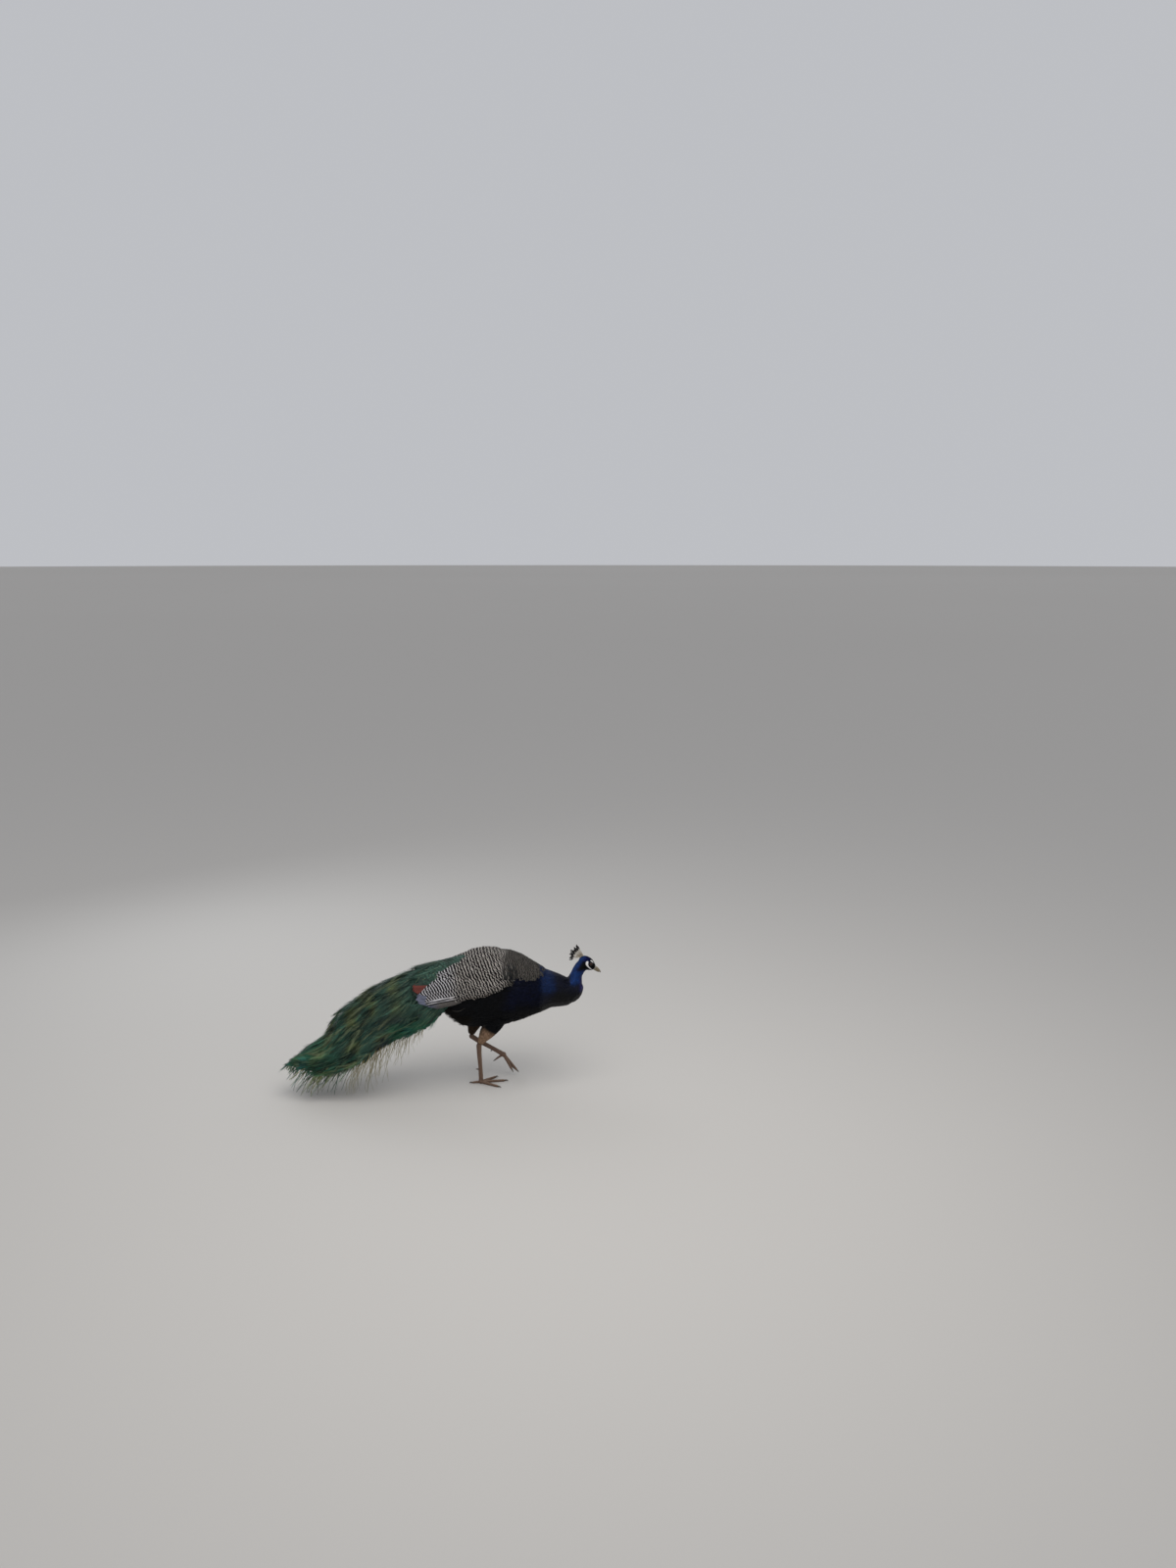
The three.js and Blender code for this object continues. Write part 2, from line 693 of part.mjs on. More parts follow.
const between = (a, b, s) => new THREE.Vector3().lerpVectors(a, b, s);

// The feathered leg from the flank to just above the bare ankle, a little fuller behind.
function thigh({ knee, hock }) {
  const bulge = new THREE.Vector3(-3, 0, -2);
  const calf = between(knee, hock, 0.42).add(bulge);
  const low = between(knee, hock, 0.7).addScaledVector(bulge, 0.5);
  return limb([knee, calf, low, between(knee, hock, THIGH.ends)], THIGH.radii, 14, THIGH.flatten);
}

// Ankle, bare shank and the hub of the foot.
function shank({ knee, hock, hub }) {
  const top = between(knee, hock, SHANK.starts);
  const bend = between(hock, hub, 0.06);
  const middle = between(hock, hub, 0.5).add(new THREE.Vector3(0.8, 0, 0));
  return joined([limb([top, bend, middle, hub], SHANK.radii, 10, SHANK.flatten), ball(hub, PAD)]);
}

// The spur grows from the back of the shank.
function spur({ hock, hub }) {
  const root = between(hock, hub, SPUR.down);
  const along = new THREE.Vector3().subVectors(hub, hock).normalize();
  const back = new THREE.Vector3(0, 1, 0).cross(along).normalize();
  if (back.x > 0) back.negate();
  const tip = root
    .clone()
    .addScaledVector(back, SPUR.length)
    .add(new THREE.Vector3(0, 0, SPUR.rise));
  return limb([root, between(root, tip, 0.6), tip], SPUR.radii, 6);
}

// Where each toe of a foot goes: points from the hub to the end of its flesh, then the way its claw leaves.
function toePath(leg, name) {
  const turn = TOE_TURN[name] * DEG;
  const length = TOE_LENGTH[name];
  const stations = spaced(0, 1, TOE_RADII.length - 1);
  if (leg === STANDING) {
    const ahead = new THREE.Vector3(Math.cos(turn), Math.sin(turn), 0);
    const level = (s) => lerp(TOE_RADII[0], TOE_RADII.at(-1), s) - SOLE_SINK;
    const points = stations.map((s) =>
      leg.hub
        .clone()
        .addScaledVector(ahead, 3 + length * s)
        .setZ(level(s)),
    );
    return { points, way: ahead };
  }
  const hind = name === "hind";
  const hanging = new THREE.Vector3(...HANGING[name]).normalize();
  const curl = new THREE.Vector3(hind ? 0.3 : -0.1, 0, hind ? -0.9 : 0.02);
  const reach = length * (hind ? 1 : 0.92);
  const points = stations.map((s) =>
    leg.hub
      .clone()
      .addScaledVector(hanging, 4 + reach * s)
      .addScaledVector(curl, 0.16 * reach * s * s),
  );
  return { points, way: new THREE.Vector3().subVectors(points.at(-1), points.at(-2)).normalize() };
}

const floor = (solid) => solid.trimByPlane([0, 0, 1], 0);

function toe(leg, name) {
  const slim = name === "hind" ? HIND_SLIM : 1;
  return floor(limb(toePath(leg, name).points, TOE_RADII.map((r) => r * slim), 7));
}

function claw(leg, name) {
  const { points, way } = toePath(leg, name);
  const length = name === "hind" ? CLAW.hindLength : CLAW.length;
  const start = points.at(-1).clone().addScaledVector(way, GAP);
  const middle = start
    .clone()
    .addScaledVector(way, CLAW.length / 2)
    .add(new THREE.Vector3(0, 0, CLAW.arch));
  const tip = start.clone().addScaledVector(way, length);
  if (leg === STANDING) tip.z = CLAW.arch;
  return floor(limb([start, middle, tip], CLAW.radii, 5));
}

// ---------------------------------------- the solids, cut to meet without overlap
const largest = (solid) => solid.decompose().sort((a, b) => b.volume() - a.volume())[0];
// What is left of a solid when others are taken out of it.
const without = (solid, others) => others.reduce((left, other) => left.subtract(other), solid);
const looseTrunk = trunkWhole(GAP);
const swollen = (shape) => ({ ...shape, grow: GAP });

// Feather patches. Each one gives way to the patches laid before it.
const laid = [];
function lay(name, shape, finish, whole = patch(form, shape)) {
  part(name, largest(without(whole, laid)), finish);
  laid.push(patch(form, swollen(shape)));
}

// The back of the trunk is cut down to make room for the train, which grows out of it.
const trainShapes = TRAIN_LAYERS.map(trainShape);
const ABOVE = 60; // further out than any feather stands from the form
const roomForTrain = trainShapes
  .slice(0, 2)
  .map((shape) => patch(form, { ...swollen(shape), outer: ABOVE, rim: ABOVE }));

const legs = [STANDING, SWINGING];
const thighs = legs.map((leg) => thigh(leg).subtract(flesh));
const over = (solid, cut) => beyond(solid, cut.at, cut.way);
const under = (solid, cut) => beyond(solid, cut.at, cut.way.clone().negate());

const rear = without(under(flesh, CUTS.breast), roomForTrain);
const front = over(over(flesh, CUTS.breast), CUTS.neckBase);
const sockets = eyes.map((eye) => ball(eye.centre, EYE.radius + 2 * GAP));

part("rump", largest(over(rear, CUTS.rump)), FINISH.dark);
part("trunk", largest(under(rear, CUTS.rump)), FINISH.dark);
part("breast", under(over(flesh, CUTS.breast), CUTS.neckBase), FINISH.blue);
part("neck_lower", under(front, CUTS.crook), FINISH.blue);
part("neck_upper", under(over(front, CUTS.crook), CUTS.head), FINISH.blue);

const headWhole = without(over(over(front, CUTS.crook), CUTS.head), sockets);
const headSolid = part("head", headWhole, FINISH.blue);
part("crest", largest(without(crest(), [skull(GAP), upperNeck(GAP)])), FINISH.dark);
part("bill_upper", billHalf(1).subtract(headSolid), FINISH.horn);
part("bill_lower", billHalf(-1).subtract(headSolid), FINISH.horn);
for (const eye of eyes) part(eye.name, ball(eye.centre, EYE.radius), FINISH.eye);

trainShapes.forEach((shape, i) => lay(TRAIN_LAYERS[i].name, shape, FINISH.green));
part("train_tips", without(patch(tips, trainEnd), laid), FINISH.green);
part("tail_left", tailHalf(1), FINISH.brown);
part("tail_right", tailHalf(-1), FINISH.brown);

lay("mantle", MANTLE, FINISH.barred, patch(form, MANTLE).subtract(looseTrunk));
for (const side of [1, -1])
  for (const { name, finish, shape } of TRACTS.map((t) => tract(side, t))) {
    const whole = largest(without(patch(form, shape), [looseTrunk, ...laid]));
    laid.push(patch(form, swollen(shape)));
    if (!name.endsWith("_wing")) {
      part(name, whole, finish);
      continue;
    }
    const sides = whole.subtract(covertEnds(side)).decompose();
    const [fore, hind] = sides.sort((a, b) => b.boundingBox().max[0] - a.boundingBox().max[0]);
    part(name.replace(/wing$/, "coverts"), fore, finish);
    part(name.replace(/wing$/, "secondaries"), hind, finish);
  }

legs.forEach((leg, i) => {
  const bare = shank(leg);
  const toes = TOE_NAMES.map((name) => toe(leg, name));
  const horn = spur(leg);
  part(`thigh_${leg.side}`, largest(thighs[i].subtract(bare)), FINISH.buff);
  part(`shank_${leg.side}`, floor(bare), FINISH.leg);
  part(`spur_${leg.side}`, largest(horn.subtract(bare)), FINISH.horn);
  TOE_NAMES.forEach((name, k) => {
    const others = toes.slice(0, k);
    part(`toe_${leg.side}_${name}`, largest(without(toes[k].subtract(bare), others)), FINISH.leg);
    part(`claw_${leg.side}_${name}`, claw(leg, name).subtract(toes[k]), FINISH.horn);
  });
});

export default group;
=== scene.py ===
# %% [markdown]
# # A walking peacock, feather by feather
# The frame holds a plain solid bird: head, neck, trunk, wings, train and legs, all at their real size and
# place. This lesson dresses it. A bird's outline is its plumage, not its flesh, so the solids mark where
# the feathers end, and the skin goes a few millimetres inside them. Every feather is a small mesh, laid
# on the body the way it grows: the root sunk in, the tip lying on the feather behind it.

# %% Load the frame
import math

import bmesh
import bpy
import numpy as np
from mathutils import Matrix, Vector
from mathutils.bvhtree import BVHTree
from mathutils.kdtree import KDTree


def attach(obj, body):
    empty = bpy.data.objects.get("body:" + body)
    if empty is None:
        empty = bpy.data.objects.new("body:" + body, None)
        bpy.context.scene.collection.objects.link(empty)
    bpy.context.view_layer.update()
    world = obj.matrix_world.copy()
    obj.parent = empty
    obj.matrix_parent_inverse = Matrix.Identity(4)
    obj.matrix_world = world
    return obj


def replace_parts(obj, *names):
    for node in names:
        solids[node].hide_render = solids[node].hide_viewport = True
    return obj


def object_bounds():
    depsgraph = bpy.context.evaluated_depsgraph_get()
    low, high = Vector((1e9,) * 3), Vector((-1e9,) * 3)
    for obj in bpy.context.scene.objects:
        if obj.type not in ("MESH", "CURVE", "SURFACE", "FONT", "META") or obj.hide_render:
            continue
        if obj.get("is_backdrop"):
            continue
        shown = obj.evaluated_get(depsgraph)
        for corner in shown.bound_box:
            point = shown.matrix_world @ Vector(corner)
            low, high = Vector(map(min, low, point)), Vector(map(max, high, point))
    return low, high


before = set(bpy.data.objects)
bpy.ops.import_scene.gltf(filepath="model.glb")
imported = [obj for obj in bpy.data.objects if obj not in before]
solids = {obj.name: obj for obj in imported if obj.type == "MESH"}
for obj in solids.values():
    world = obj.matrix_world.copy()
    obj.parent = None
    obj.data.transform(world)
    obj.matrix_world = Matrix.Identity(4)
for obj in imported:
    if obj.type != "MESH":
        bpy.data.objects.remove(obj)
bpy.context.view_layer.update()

scene = bpy.context.scene
MM = 0.001  # the script works in millimetres and hands metres to Blender

# %% [markdown]
# ## Material helpers
# Three small functions make every material: one links two sockets, one adds a node with its sockets set,
# and one starts a material with the shader's main values.

# %% Materials from nodes
def link(tree, out_node, out_name, in_node, in_name):
    tree.links.new(out_node.outputs[out_name], in_node.inputs[in_name])


def add_node(tree, kind, **inputs):
    """A shader node with some of its sockets set."""
    node = tree.nodes.new(kind)
    for name, value in inputs.items():
        node.inputs[name.replace("_", " ")].default_value = value
    return node


def new_finish(name, roughness, metallic=0.0, coat=0.0, gloss=0.5):
    """A plain material: itself, its tree and its shader node."""
    material = bpy.data.materials.new(name)
    material.use_nodes = True
    shader = material.node_tree.nodes["Principled BSDF"]
    shader.inputs["Roughness"].default_value = roughness
    shader.inputs["Metallic"].default_value = metallic
    shader.inputs["Coat Weight"].default_value = coat
    shader.inputs["Specular IOR Level"].default_value = gloss
    return material, material.node_tree, shader


# %% [markdown]
# ## Stage: floor, camera and light
# Soft light flatters feathers: a bright even sky with one large lamp over the bird gives a gentle gloss
# on the back and leaves the belly dark, as under trees. The camera stands at eye height, some three and a
# half metres away on the bird's right, and looks a little down.

# %% Floor, camera and light
FLOOR_RADIUS = 150.0
FLOOR_CORNERS = 96
FLOOR_SHADES = [(0.56, 0.54, 0.51, 1), (0.62, 0.60, 0.57, 1)]
CAMERA_AT = (-0.1516, -3.5535, 1.68)
LOOK_DOWN, LOOK_RIGHT = 11.15, 8.0  # degrees
BIRD_MIDDLE = (-0.1, 0.0, 0.25)
SKY_COLOUR, SKY_STRENGTH = (0.93, 0.95, 1.0, 1), 0.55


def placed(name, data):
    """A new object in the scene."""
    thing = bpy.data.objects.new(name, data)
    scene.collection.objects.link(thing)
    return thing


floor_mesh = bpy.data.meshes.new("floor")
turns = [2 * math.pi * k / FLOOR_CORNERS for k in range(FLOOR_CORNERS)]
floor_rim = [(FLOOR_RADIUS * math.cos(a), FLOOR_RADIUS * math.sin(a), 0) for a in turns]
floor_mesh.from_pydata(floor_rim, [], [tuple(range(FLOOR_CORNERS))])
floor = placed("floor", floor_mesh)
floor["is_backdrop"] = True
floor_paint, tree, shader = new_finish("pale_floor", 0.95, gloss=0.1)
cloud = add_node(tree, "ShaderNodeTexNoise", Scale=6.0, Detail=6.0)
shades = tree.nodes.new("ShaderNodeValToRGB")
for stop, shade in zip(shades.color_ramp.elements, FLOOR_SHADES):
    stop.color = shade
link(tree, cloud, "Fac", shades, "Fac")
link(tree, shades, "Color", shader, "Base Color")
floor_mesh.materials.append(floor_paint)

camera_data = bpy.data.cameras.new("camera")
camera_data.sensor_width = 36.0
camera_data.lens = 27.05
camera = placed("camera", camera_data)
camera.location = CAMERA_AT
camera.rotation_euler = (math.radians(90 - LOOK_DOWN), 0, math.radians(-LOOK_RIGHT))
scene.camera = camera


def soft_lamp(name, place, size, power, colour):
    """A square area lamp at `place` that faces the bird."""
    data = bpy.data.lights.new(name, "AREA")
    data.shape = "SQUARE"
    data.size = size
    data.energy = power
    data.color = colour
    lamp = placed(name, data)
    lamp.location = place
    lamp.rotation_euler = (Vector(BIRD_MIDDLE) - Vector(place)).to_track_quat("-Z", "Y").to_euler()


soft_lamp("sky_lamp", (0.3, -0.9, 2.6), 2.2, 34, (1.0, 0.98, 0.95))
soft_lamp("back_lamp", (-1.2, 1.8, 1.6), 1.4, 9, (0.9, 0.95, 1.0))
world = bpy.data.worlds.new("sky")
world.use_nodes = True
sky = world.node_tree.nodes["Background"]
sky.inputs["Color"].default_value = SKY_COLOUR
sky.inputs["Strength"].default_value = SKY_STRENGTH
scene.world = world
scene.view_settings.view_transform = "Standard"
print("camera at", [round(v, 2) for v in camera.location])

# %% [markdown]
# ## Tools for colour
# Four small functions serve all markings: one reads a colour code, one gives a smooth step between zones,
# one lays a colour over another, and one gives smooth noise for edges that wander.

# %% Colour tools
def tint(code):
    """A six-digit colour code as linear red, green and blue."""
    channels = [int(code[i:i + 2], 16) / 255 for i in (0, 2, 4)]
    return np.array([c / 12.92 if c <= 0.04045 else ((c + 0.055) / 1.055) ** 2.4 for c in channels])


def ramp(value, start, end):
    """0 before `start`, 1 after `end`, smooth between them. `end` may be the smaller one."""
    t = np.clip((value - start) / (end - start), 0, 1)
    return t * t * (3 - 2 * t)


def over(base, colour, amount):
    """`colour` laid over `base` by an amount for each point."""
    return base + (colour - base) * np.asarray(amount)[..., None]


def ripple(points, size, seed=0):
    """Smooth noise of roughly the given size, from -1 to 1, out of a few crossing waves."""
    turns = np.random.default_rng(100 + seed)
    total = np.zeros(len(points))
    for _ in range(5):
        way = turns.normal(size=3)
        way *= 2 * math.pi / (size * np.linalg.norm(way) * turns.uniform(0.7, 1.5))
        total += np.sin(points @ way + turns.uniform(0, 2 * math.pi))
    return total / 2.6

# %% [markdown]
# ## Colours that the skin and the coat share
# Light reaches the skin between the feathers, so both need the same markings. One function gives the
# colour of the plumage at any point of the body, from the point's place alone, and every piece stores
# what it returns in a colour attribute called Paint. Its zones are the blue neck, the darker head, the
# black belly and the pale thighs. Light and shade are painted into them too: the breast's blue is darkened
# to navy as painted shade under a band of painted highlight, and the far thigh and the front of each
# thigh are darker as painted shade.

# %% Zones of colour
HEAD_AT = np.array([343.0, 0, 387])  # middle of the skull
HEAD_PITCH = math.radians(36)  # the bill points this far down
HEAD_AXIS = np.array([math.cos(HEAD_PITCH), 0, -math.sin(HEAD_PITCH)])
HEAD_UP = np.array([math.sin(HEAD_PITCH), 0, math.cos(HEAD_PITCH)])


def head_frame(points):
    """Distances along the head's axis and up towards the crown."""
    return (points - HEAD_AT) @ HEAD_AXIS, (points - HEAD_AT) @ HEAD_UP


BLACK = tint("08080b")
BREAST_BLUE_IN_SHADE = tint("060a1d")
COBALT = tint("0a2d62")
VIOLET = tint("161450")
CROWN = tint("121a52")
BELLY = tint("07080b")
GREEN = tint("325044")
TEAL = tint("2a6a66")
UMBER = tint("4a4036")
FAR_THIGH_SHADE = tint("35291f")
BUFF = tint("937760")
WHITE = tint("e9e6e4")
LEGS = {
    "right": {"knee": np.array([60.0, -44, 246]), "hock": np.array([-6.0, -11, 137])},
    "left": {"knee": np.array([6.0, 46, 246]), "hock": np.array([-30.0, 38, 147])},
}
THIGH_RADII = [32, 29, 18.5, 9.6]  # evenly from the knee to just above the hock


def on_thigh(points, side):
    """1 on one thigh below the belly, 0 elsewhere."""
    knee, hock = LEGS[side]["knee"], LEGS[side]["hock"]
    share = np.clip((points - knee) @ (hock - knee) / ((hock - knee) ** 2).sum(), 0, 1)
    apart = np.linalg.norm(points - knee - share[:, None] * (hock - knee), axis=1)
    inside = ramp(apart - np.interp(share, np.linspace(0, 0.93, 4), THIGH_RADII), 8, 2)
    return inside * ramp(points[:, 2], 226, 206)


def plumage(points):
    """Colour of the plumage at points on the head, neck, body and thighs."""
    x, _, z = points.T
    wave = ripple(points, 60, 1)
    # The breast is its blue darkened to navy as painted shade, with a painted highlight of brighter blue
    # along its top by the mantle, and black from the belly back.
    colour = over(BREAST_BLUE_IN_SHADE, COBALT * 0.5, ramp(x, 178, 205) * ramp(x, 248, 222) * ramp(z + 8 * wave, 300, 335))
    colour = over(colour, BELLY, ramp(z + 10 * wave - 30 * ramp(x, 215, 250), 300, 262))
    colour = over(colour, BELLY, ramp(x + 12 * wave, 120, 60))
    # The neck is blue, with violet down its front.
    colour = over(colour, COBALT, ramp(z, 318, 338) * ramp(x, 285, 292))
    colour = over(colour, VIOLET, ramp(z, 360, 330) * ramp(x, 312, 326) * ramp(z, 292, 312))
    # The crown is dark blue and the face black.
    along, up = head_frame(points)
    in_head = ramp(z, 362, 376) * ramp(x, 300, 312)
    colour = over(colour, CROWN, in_head * ramp(along, -26, -12))
    face = ramp(along, -4, 4) + ramp(up + 0.35 * along, 4, -3) * ramp(along, -22, -12)
    colour = over(colour, BLACK, in_head * np.clip(face, 0, 1))
    # The thighs are buff. The far, left one is darker as painted shade, and towards the front of each the
    # buff starts lower, leaving black there as painted shade.
    for side, shade in (("right", BUFF), ("left", FAR_THIGH_SHADE)):
        front = np.maximum(x - LEGS[side]["hock"][0], 0)
        colour = over(colour, shade, on_thigh(points, side) * ramp(z + 5 * wave + 0.7 * front, 224, 196))
    return colour


# %% [markdown]
# ## Finishes
# A feather's colour is paint plus structure: barbules bend the light, so blue and green feathers gleam
# like silk while buff ones stay dull. One function makes all plumage finishes. It reads the Paint
# attribute, breaks it up with fine noise, and draws the barbs as a bump from the attribute Barb. That
# counts millimetres along each vane and out to its edges, so the lines slant away from the shaft as real
# barbs do.

# %% Plumage finish
BARB_GAP = 0.8  # millimetres from one ridge to the next


def painted(tree, shader, factor, socket):
    """The Paint attribute, scaled by another node's output, as the shader's colour."""
    paint = tree.nodes.new("ShaderNodeAttribute")
    paint.attribute_name = "Paint"
    scaled = tree.nodes.new("ShaderNodeVectorMath")
    scaled.operation = "SCALE"
    link(tree, paint, "Color", scaled, "Vector")
    link(tree, factor, socket, scaled, "Scale")
    link(tree, scaled, "Vector", shader, "Base Color")


def uneven_paint(tree, shader, spread, grain, detail):
    """Paint that fine noise darkens and lightens by `spread`. Gives the noise."""
    place = tree.nodes.new("ShaderNodeTexCoord")
    noise = add_node(tree, "ShaderNodeTexNoise", Scale=grain, Detail=detail)
    link(tree, place, "Object", noise, "Vector")
    level = add_node(tree, "ShaderNodeMapRange", From_Min=0.3, From_Max=0.7, To_Min=1 - spread,
                     To_Max=1 + spread)
    link(tree, noise, "Fac", level, "Value")
    painted(tree, shader, level, "Result")
    return noise


def embossed(tree, shader, height, socket, strength, distance):
    """Relief from another node's output."""
    bump = add_node(tree, "ShaderNodeBump", Strength=strength, Distance=distance)
    link(tree, height, socket, bump, "Height")
    link(tree, bump, "Normal", shader, "Normal")


def feather_finish(name, roughness=0.6, metallic=0.0, spread=0.35, grain=900.0, relief=0.35, gloss=0.5):
    """Plumage: painted colour, uneven by `spread`, with barbs as fine slanted ridges."""
    material, tree, shader = new_finish(name, roughness, metallic, gloss=gloss)
    uneven_paint(tree, shader, spread, grain, 2.0)
    barb = tree.nodes.new("ShaderNodeAttribute")
    barb.attribute_name = "Barb"
    turns = add_node(tree, "ShaderNodeMath")
    turns.operation = "MULTIPLY"
    turns.inputs[1].default_value = 2 * math.pi / BARB_GAP
    link(tree, barb, "Fac", turns, 0)
    wave = add_node(tree, "ShaderNodeMath")
    wave.operation = "SINE"
    link(tree, turns, 0, wave, 0)
    embossed(tree, shader, wave, 0, relief, 0.0004)
    return material


# %% [markdown]
# ## From solids to a smooth ground
# The solids are faceted and cut apart. Feathers need one smooth surface to stand on, so copies of the
# solids are joined, turned into an even mesh by a voxel remesh, which closes the thin cuts, and smoothed
# a little. A search tree then answers the only question that matters when a feather is laid: where is the
# nearest point of the body, and which way does it face?

# %% Smooth surfaces from the solids
def vertex_vectors(mesh, name):
    """A vector that a mesh holds for each of its vertices."""
    flat = np.empty(len(mesh.vertices) * 3)
    mesh.vertices.foreach_get(name, flat)
    return flat.reshape(-1, 3)


def node_points(name):
    """A solid's corners, in millimetres."""
    return vertex_vectors(solids[name].data, "co") / MM


def remeshed(names, voxel, rounds):
    """One even mesh over copies of the named solids; `voxel` in millimetres."""
    shape = bmesh.new()
    for name in names:
        shape.from_mesh(solids[name].data)
    mesh = bpy.data.meshes.new("joined")
    shape.to_mesh(mesh)
    shape.free()
    work = placed("joined", mesh)
    remesh = work.modifiers.new("remesh", "REMESH")
    remesh.mode = "VOXEL"
    remesh.voxel_size = voxel * MM
    smooth = work.modifiers.new("smooth", "SMOOTH")
    smooth.iterations = rounds
    made = bpy.data.meshes.new_from_object(work.evaluated_get(bpy.context.evaluated_depsgraph_get()))
    bpy.data.objects.remove(work)
    return made


def unit(vectors):
    return vectors / np.maximum(np.linalg.norm(vectors, axis=-1, keepdims=True), 1e-9)


DARTS = 14  # tries for each square of the spacing when roots are scattered


class Ground:
    """A surface to lay feathers on."""

    def __init__(self, mesh):
        self.points = vertex_vectors(mesh, "co") / MM
        self.normals = vertex_vectors(mesh, "normal")
        self.quads = np.array([p.vertices[:] for p in mesh.polygons if len(p.vertices) == 4])
        self.facing = unit(self.normals[self.quads].mean(axis=1))
        self.tree = BVHTree.FromPolygons([Vector(p) for p in self.points], self.quads.tolist())

    def near(self, points):
        """The nearest points on the surface and the ways that it faces there."""
        shape = points.shape
        found = [self.tree.find_nearest(Vector(p)) for p in points.reshape(-1, 3)]
        spots = np.array([f[0][:] for f in found]).reshape(shape)
        ways = self.facing[[f[2] for f in found]].reshape(shape)
        return spots, ways

    def scatter(self, wanted, spacing, seed):
        """Random roots where wanted(points) is true, no two nearer than spacing(points)."""
        dice = np.random.default_rng(seed)
        corners = self.points[self.quads]
        middles = corners.mean(axis=1)
        keep = wanted(middles, self.facing)
        corners, middles = corners[keep], middles[keep]
        # Many darts fall evenly on the wanted faces.
        across = np.cross(corners[:, 2] - corners[:, 0], corners[:, 3] - corners[:, 1])
        share = np.linalg.norm(across, axis=1) / 2 / spacing(middles) ** 2
        count = int(share.sum() * DARTS)
        face = dice.choice(len(share), size=count, p=share / share.sum())
        a, b = dice.random((2, count, 1))
        c = corners[face]
        spots = (c[:, 0] * (1 - a) + c[:, 1] * a) * (1 - b) + (c[:, 3] * (1 - a) + c[:, 2] * a) * b
        # A dart that is still free stays, and clears the others within its gap.
        gap = spacing(spots)
        tree = KDTree(count)
        for i, p in enumerate(spots):
            tree.insert(p, i)
        tree.balance()
        free = np.ones(count, bool)
        chosen = []
        for i in range(count):
            if free[i]:
                chosen.append(i)
                for _, j, _ in tree.find_range(spots[i], gap[i]):
                    free[j] = False
        return spots[chosen]

# %% [markdown]
# ## The ground of the coat
# The flesh, the wings and the cape make one ground for the whole coat. A second search tree keeps the
# solids apart, and says which tract of the plumage a point belongs to.

# %% The coat's ground
FLESH = ["head", "neck_upper", "neck_lower", "breast", "trunk", "rump", "thigh_left", "thigh_right"]
WINGS = [f"wing_{side}_{tract}" for side in ("left", "right")
         for tract in ("scapulars", "coverts", "secondaries", "primaries")]
COATED = [*FLESH, "mantle", *WINGS, "train_cape"]
coat = Ground(remeshed(COATED, 2.6, 4))
print("coat ground:", len(coat.points), "points")


def search_tree(names):
    """One tree over several solids, and the name of the solid that each triangle belongs to."""
    corners, faces, owners = [], [], []
    for name in names:
        mesh = solids[name].data
        faces += [[i + len(corners) for i in p.vertices] for p in mesh.polygons]
        owners += [name] * len(mesh.polygons)
        corners += [Vector(p) for p in node_points(name)]
    return BVHTree.FromPolygons(corners, faces), np.array(owners)


tract_tree, tract_owner = search_tree(COATED)


def owner(points):
    """The solid nearest to each point."""
    return tract_owner[[tract_tree.find_nearest(Vector(p))[2] for p in points]]

# %% [markdown]
# ## Which way feathers lie
# Feathers point away from the bill. On the head and neck they follow the neck's bend, over the crop they
# turn under, and on the body they run back to the tail. A line through the middle of the bird carries
# that direction, and each point of the surface takes a soft average from the nearest stretch of it. The
# thighs have a line of their own, down to the ankle.

# %% The lie of the coat
SPINE_STOPS = np.array([
    (392, 0, 346), (343, 0, 388), (324, 0, 380), (312, 0, 357), (302, 0, 326), (283, 0, 304), (245, 0, 304),
    (190, 0, 309), (120, 0, 320), (0, 0, 321), (-90, 0, 300), (-180, 0, 240), (-300, 0, 185),
    (-430, 0, 105), (-600, 0, 70)], float)


def smooth_line(stops, steps):
    """Points along a smooth curve through the stops."""
    padded = np.vstack([2 * stops[0] - stops[1], stops, 2 * stops[-1] - stops[-2]])
    line = []
    for i in range(1, len(padded) - 2):
        a, b, c, d = padded[i - 1:i + 3]
        for t in np.linspace(0, 1, steps, endpoint=False):
            line.append(0.5 * (2 * b + (c - a) * t + (2 * a - 5 * b + 4 * c - d) * t ** 2
                               + (3 * b - a - 3 * c + d) * t ** 3))
    return np.array([*line, stops[-1]])


spine = smooth_line(SPINE_STOPS, 6)
spine_way = unit(np.gradient(spine, axis=0))
spine_run = np.concatenate([[0], np.cumsum(np.linalg.norm(np.diff(spine, axis=0), axis=1))])
SOFTNESS = 20.0  # how far along the line the average reaches


def nearness(points):
    """How strongly each stretch of the middle line pulls at each point."""
    apart = ((points[:, None] - spine[None]) ** 2).sum(axis=2)
    pull = np.exp(-(apart - apart.min(axis=1, keepdims=True)) / (2 * SOFTNESS ** 2))
    return pull / pull.sum(axis=1, keepdims=True)


def on_surface(ways, facing):
    """The ways, turned so that they run along the surface."""
    return unit(ways - (ways * facing).sum(axis=1, keepdims=True) * facing)


def lie(points, facing):
    """The way that feathers point, along the surface."""
    way = nearness(points) @ spine_way
    for side, leg in LEGS.items():
        way = over(way, unit(leg["hock"] - leg["knee"]), on_thigh(points, side))
    return on_surface(way, facing)


def unwrap(points):
    """A place on the coat's own unwrap: along the middle line, and round it from the belly."""
    pull = nearness(points)
    run = pull @ spine_run
    middle = pull @ spine
    way = unit(pull @ spine_way)
    up = unit(np.cross(way, np.array([0.0, 1, 0])))
    out = points - middle
    angle = np.arctan2(out[:, 1], (out * up).sum(axis=1) * np.sign(up[:, 2] + 1e-6))
    return np.stack([0.01 + 0.98 * run / spine_run[-1], 0.5 + 0.49 * angle / math.pi], axis=1)


print("middle line:", round(spine_run[-1]), "mm long")

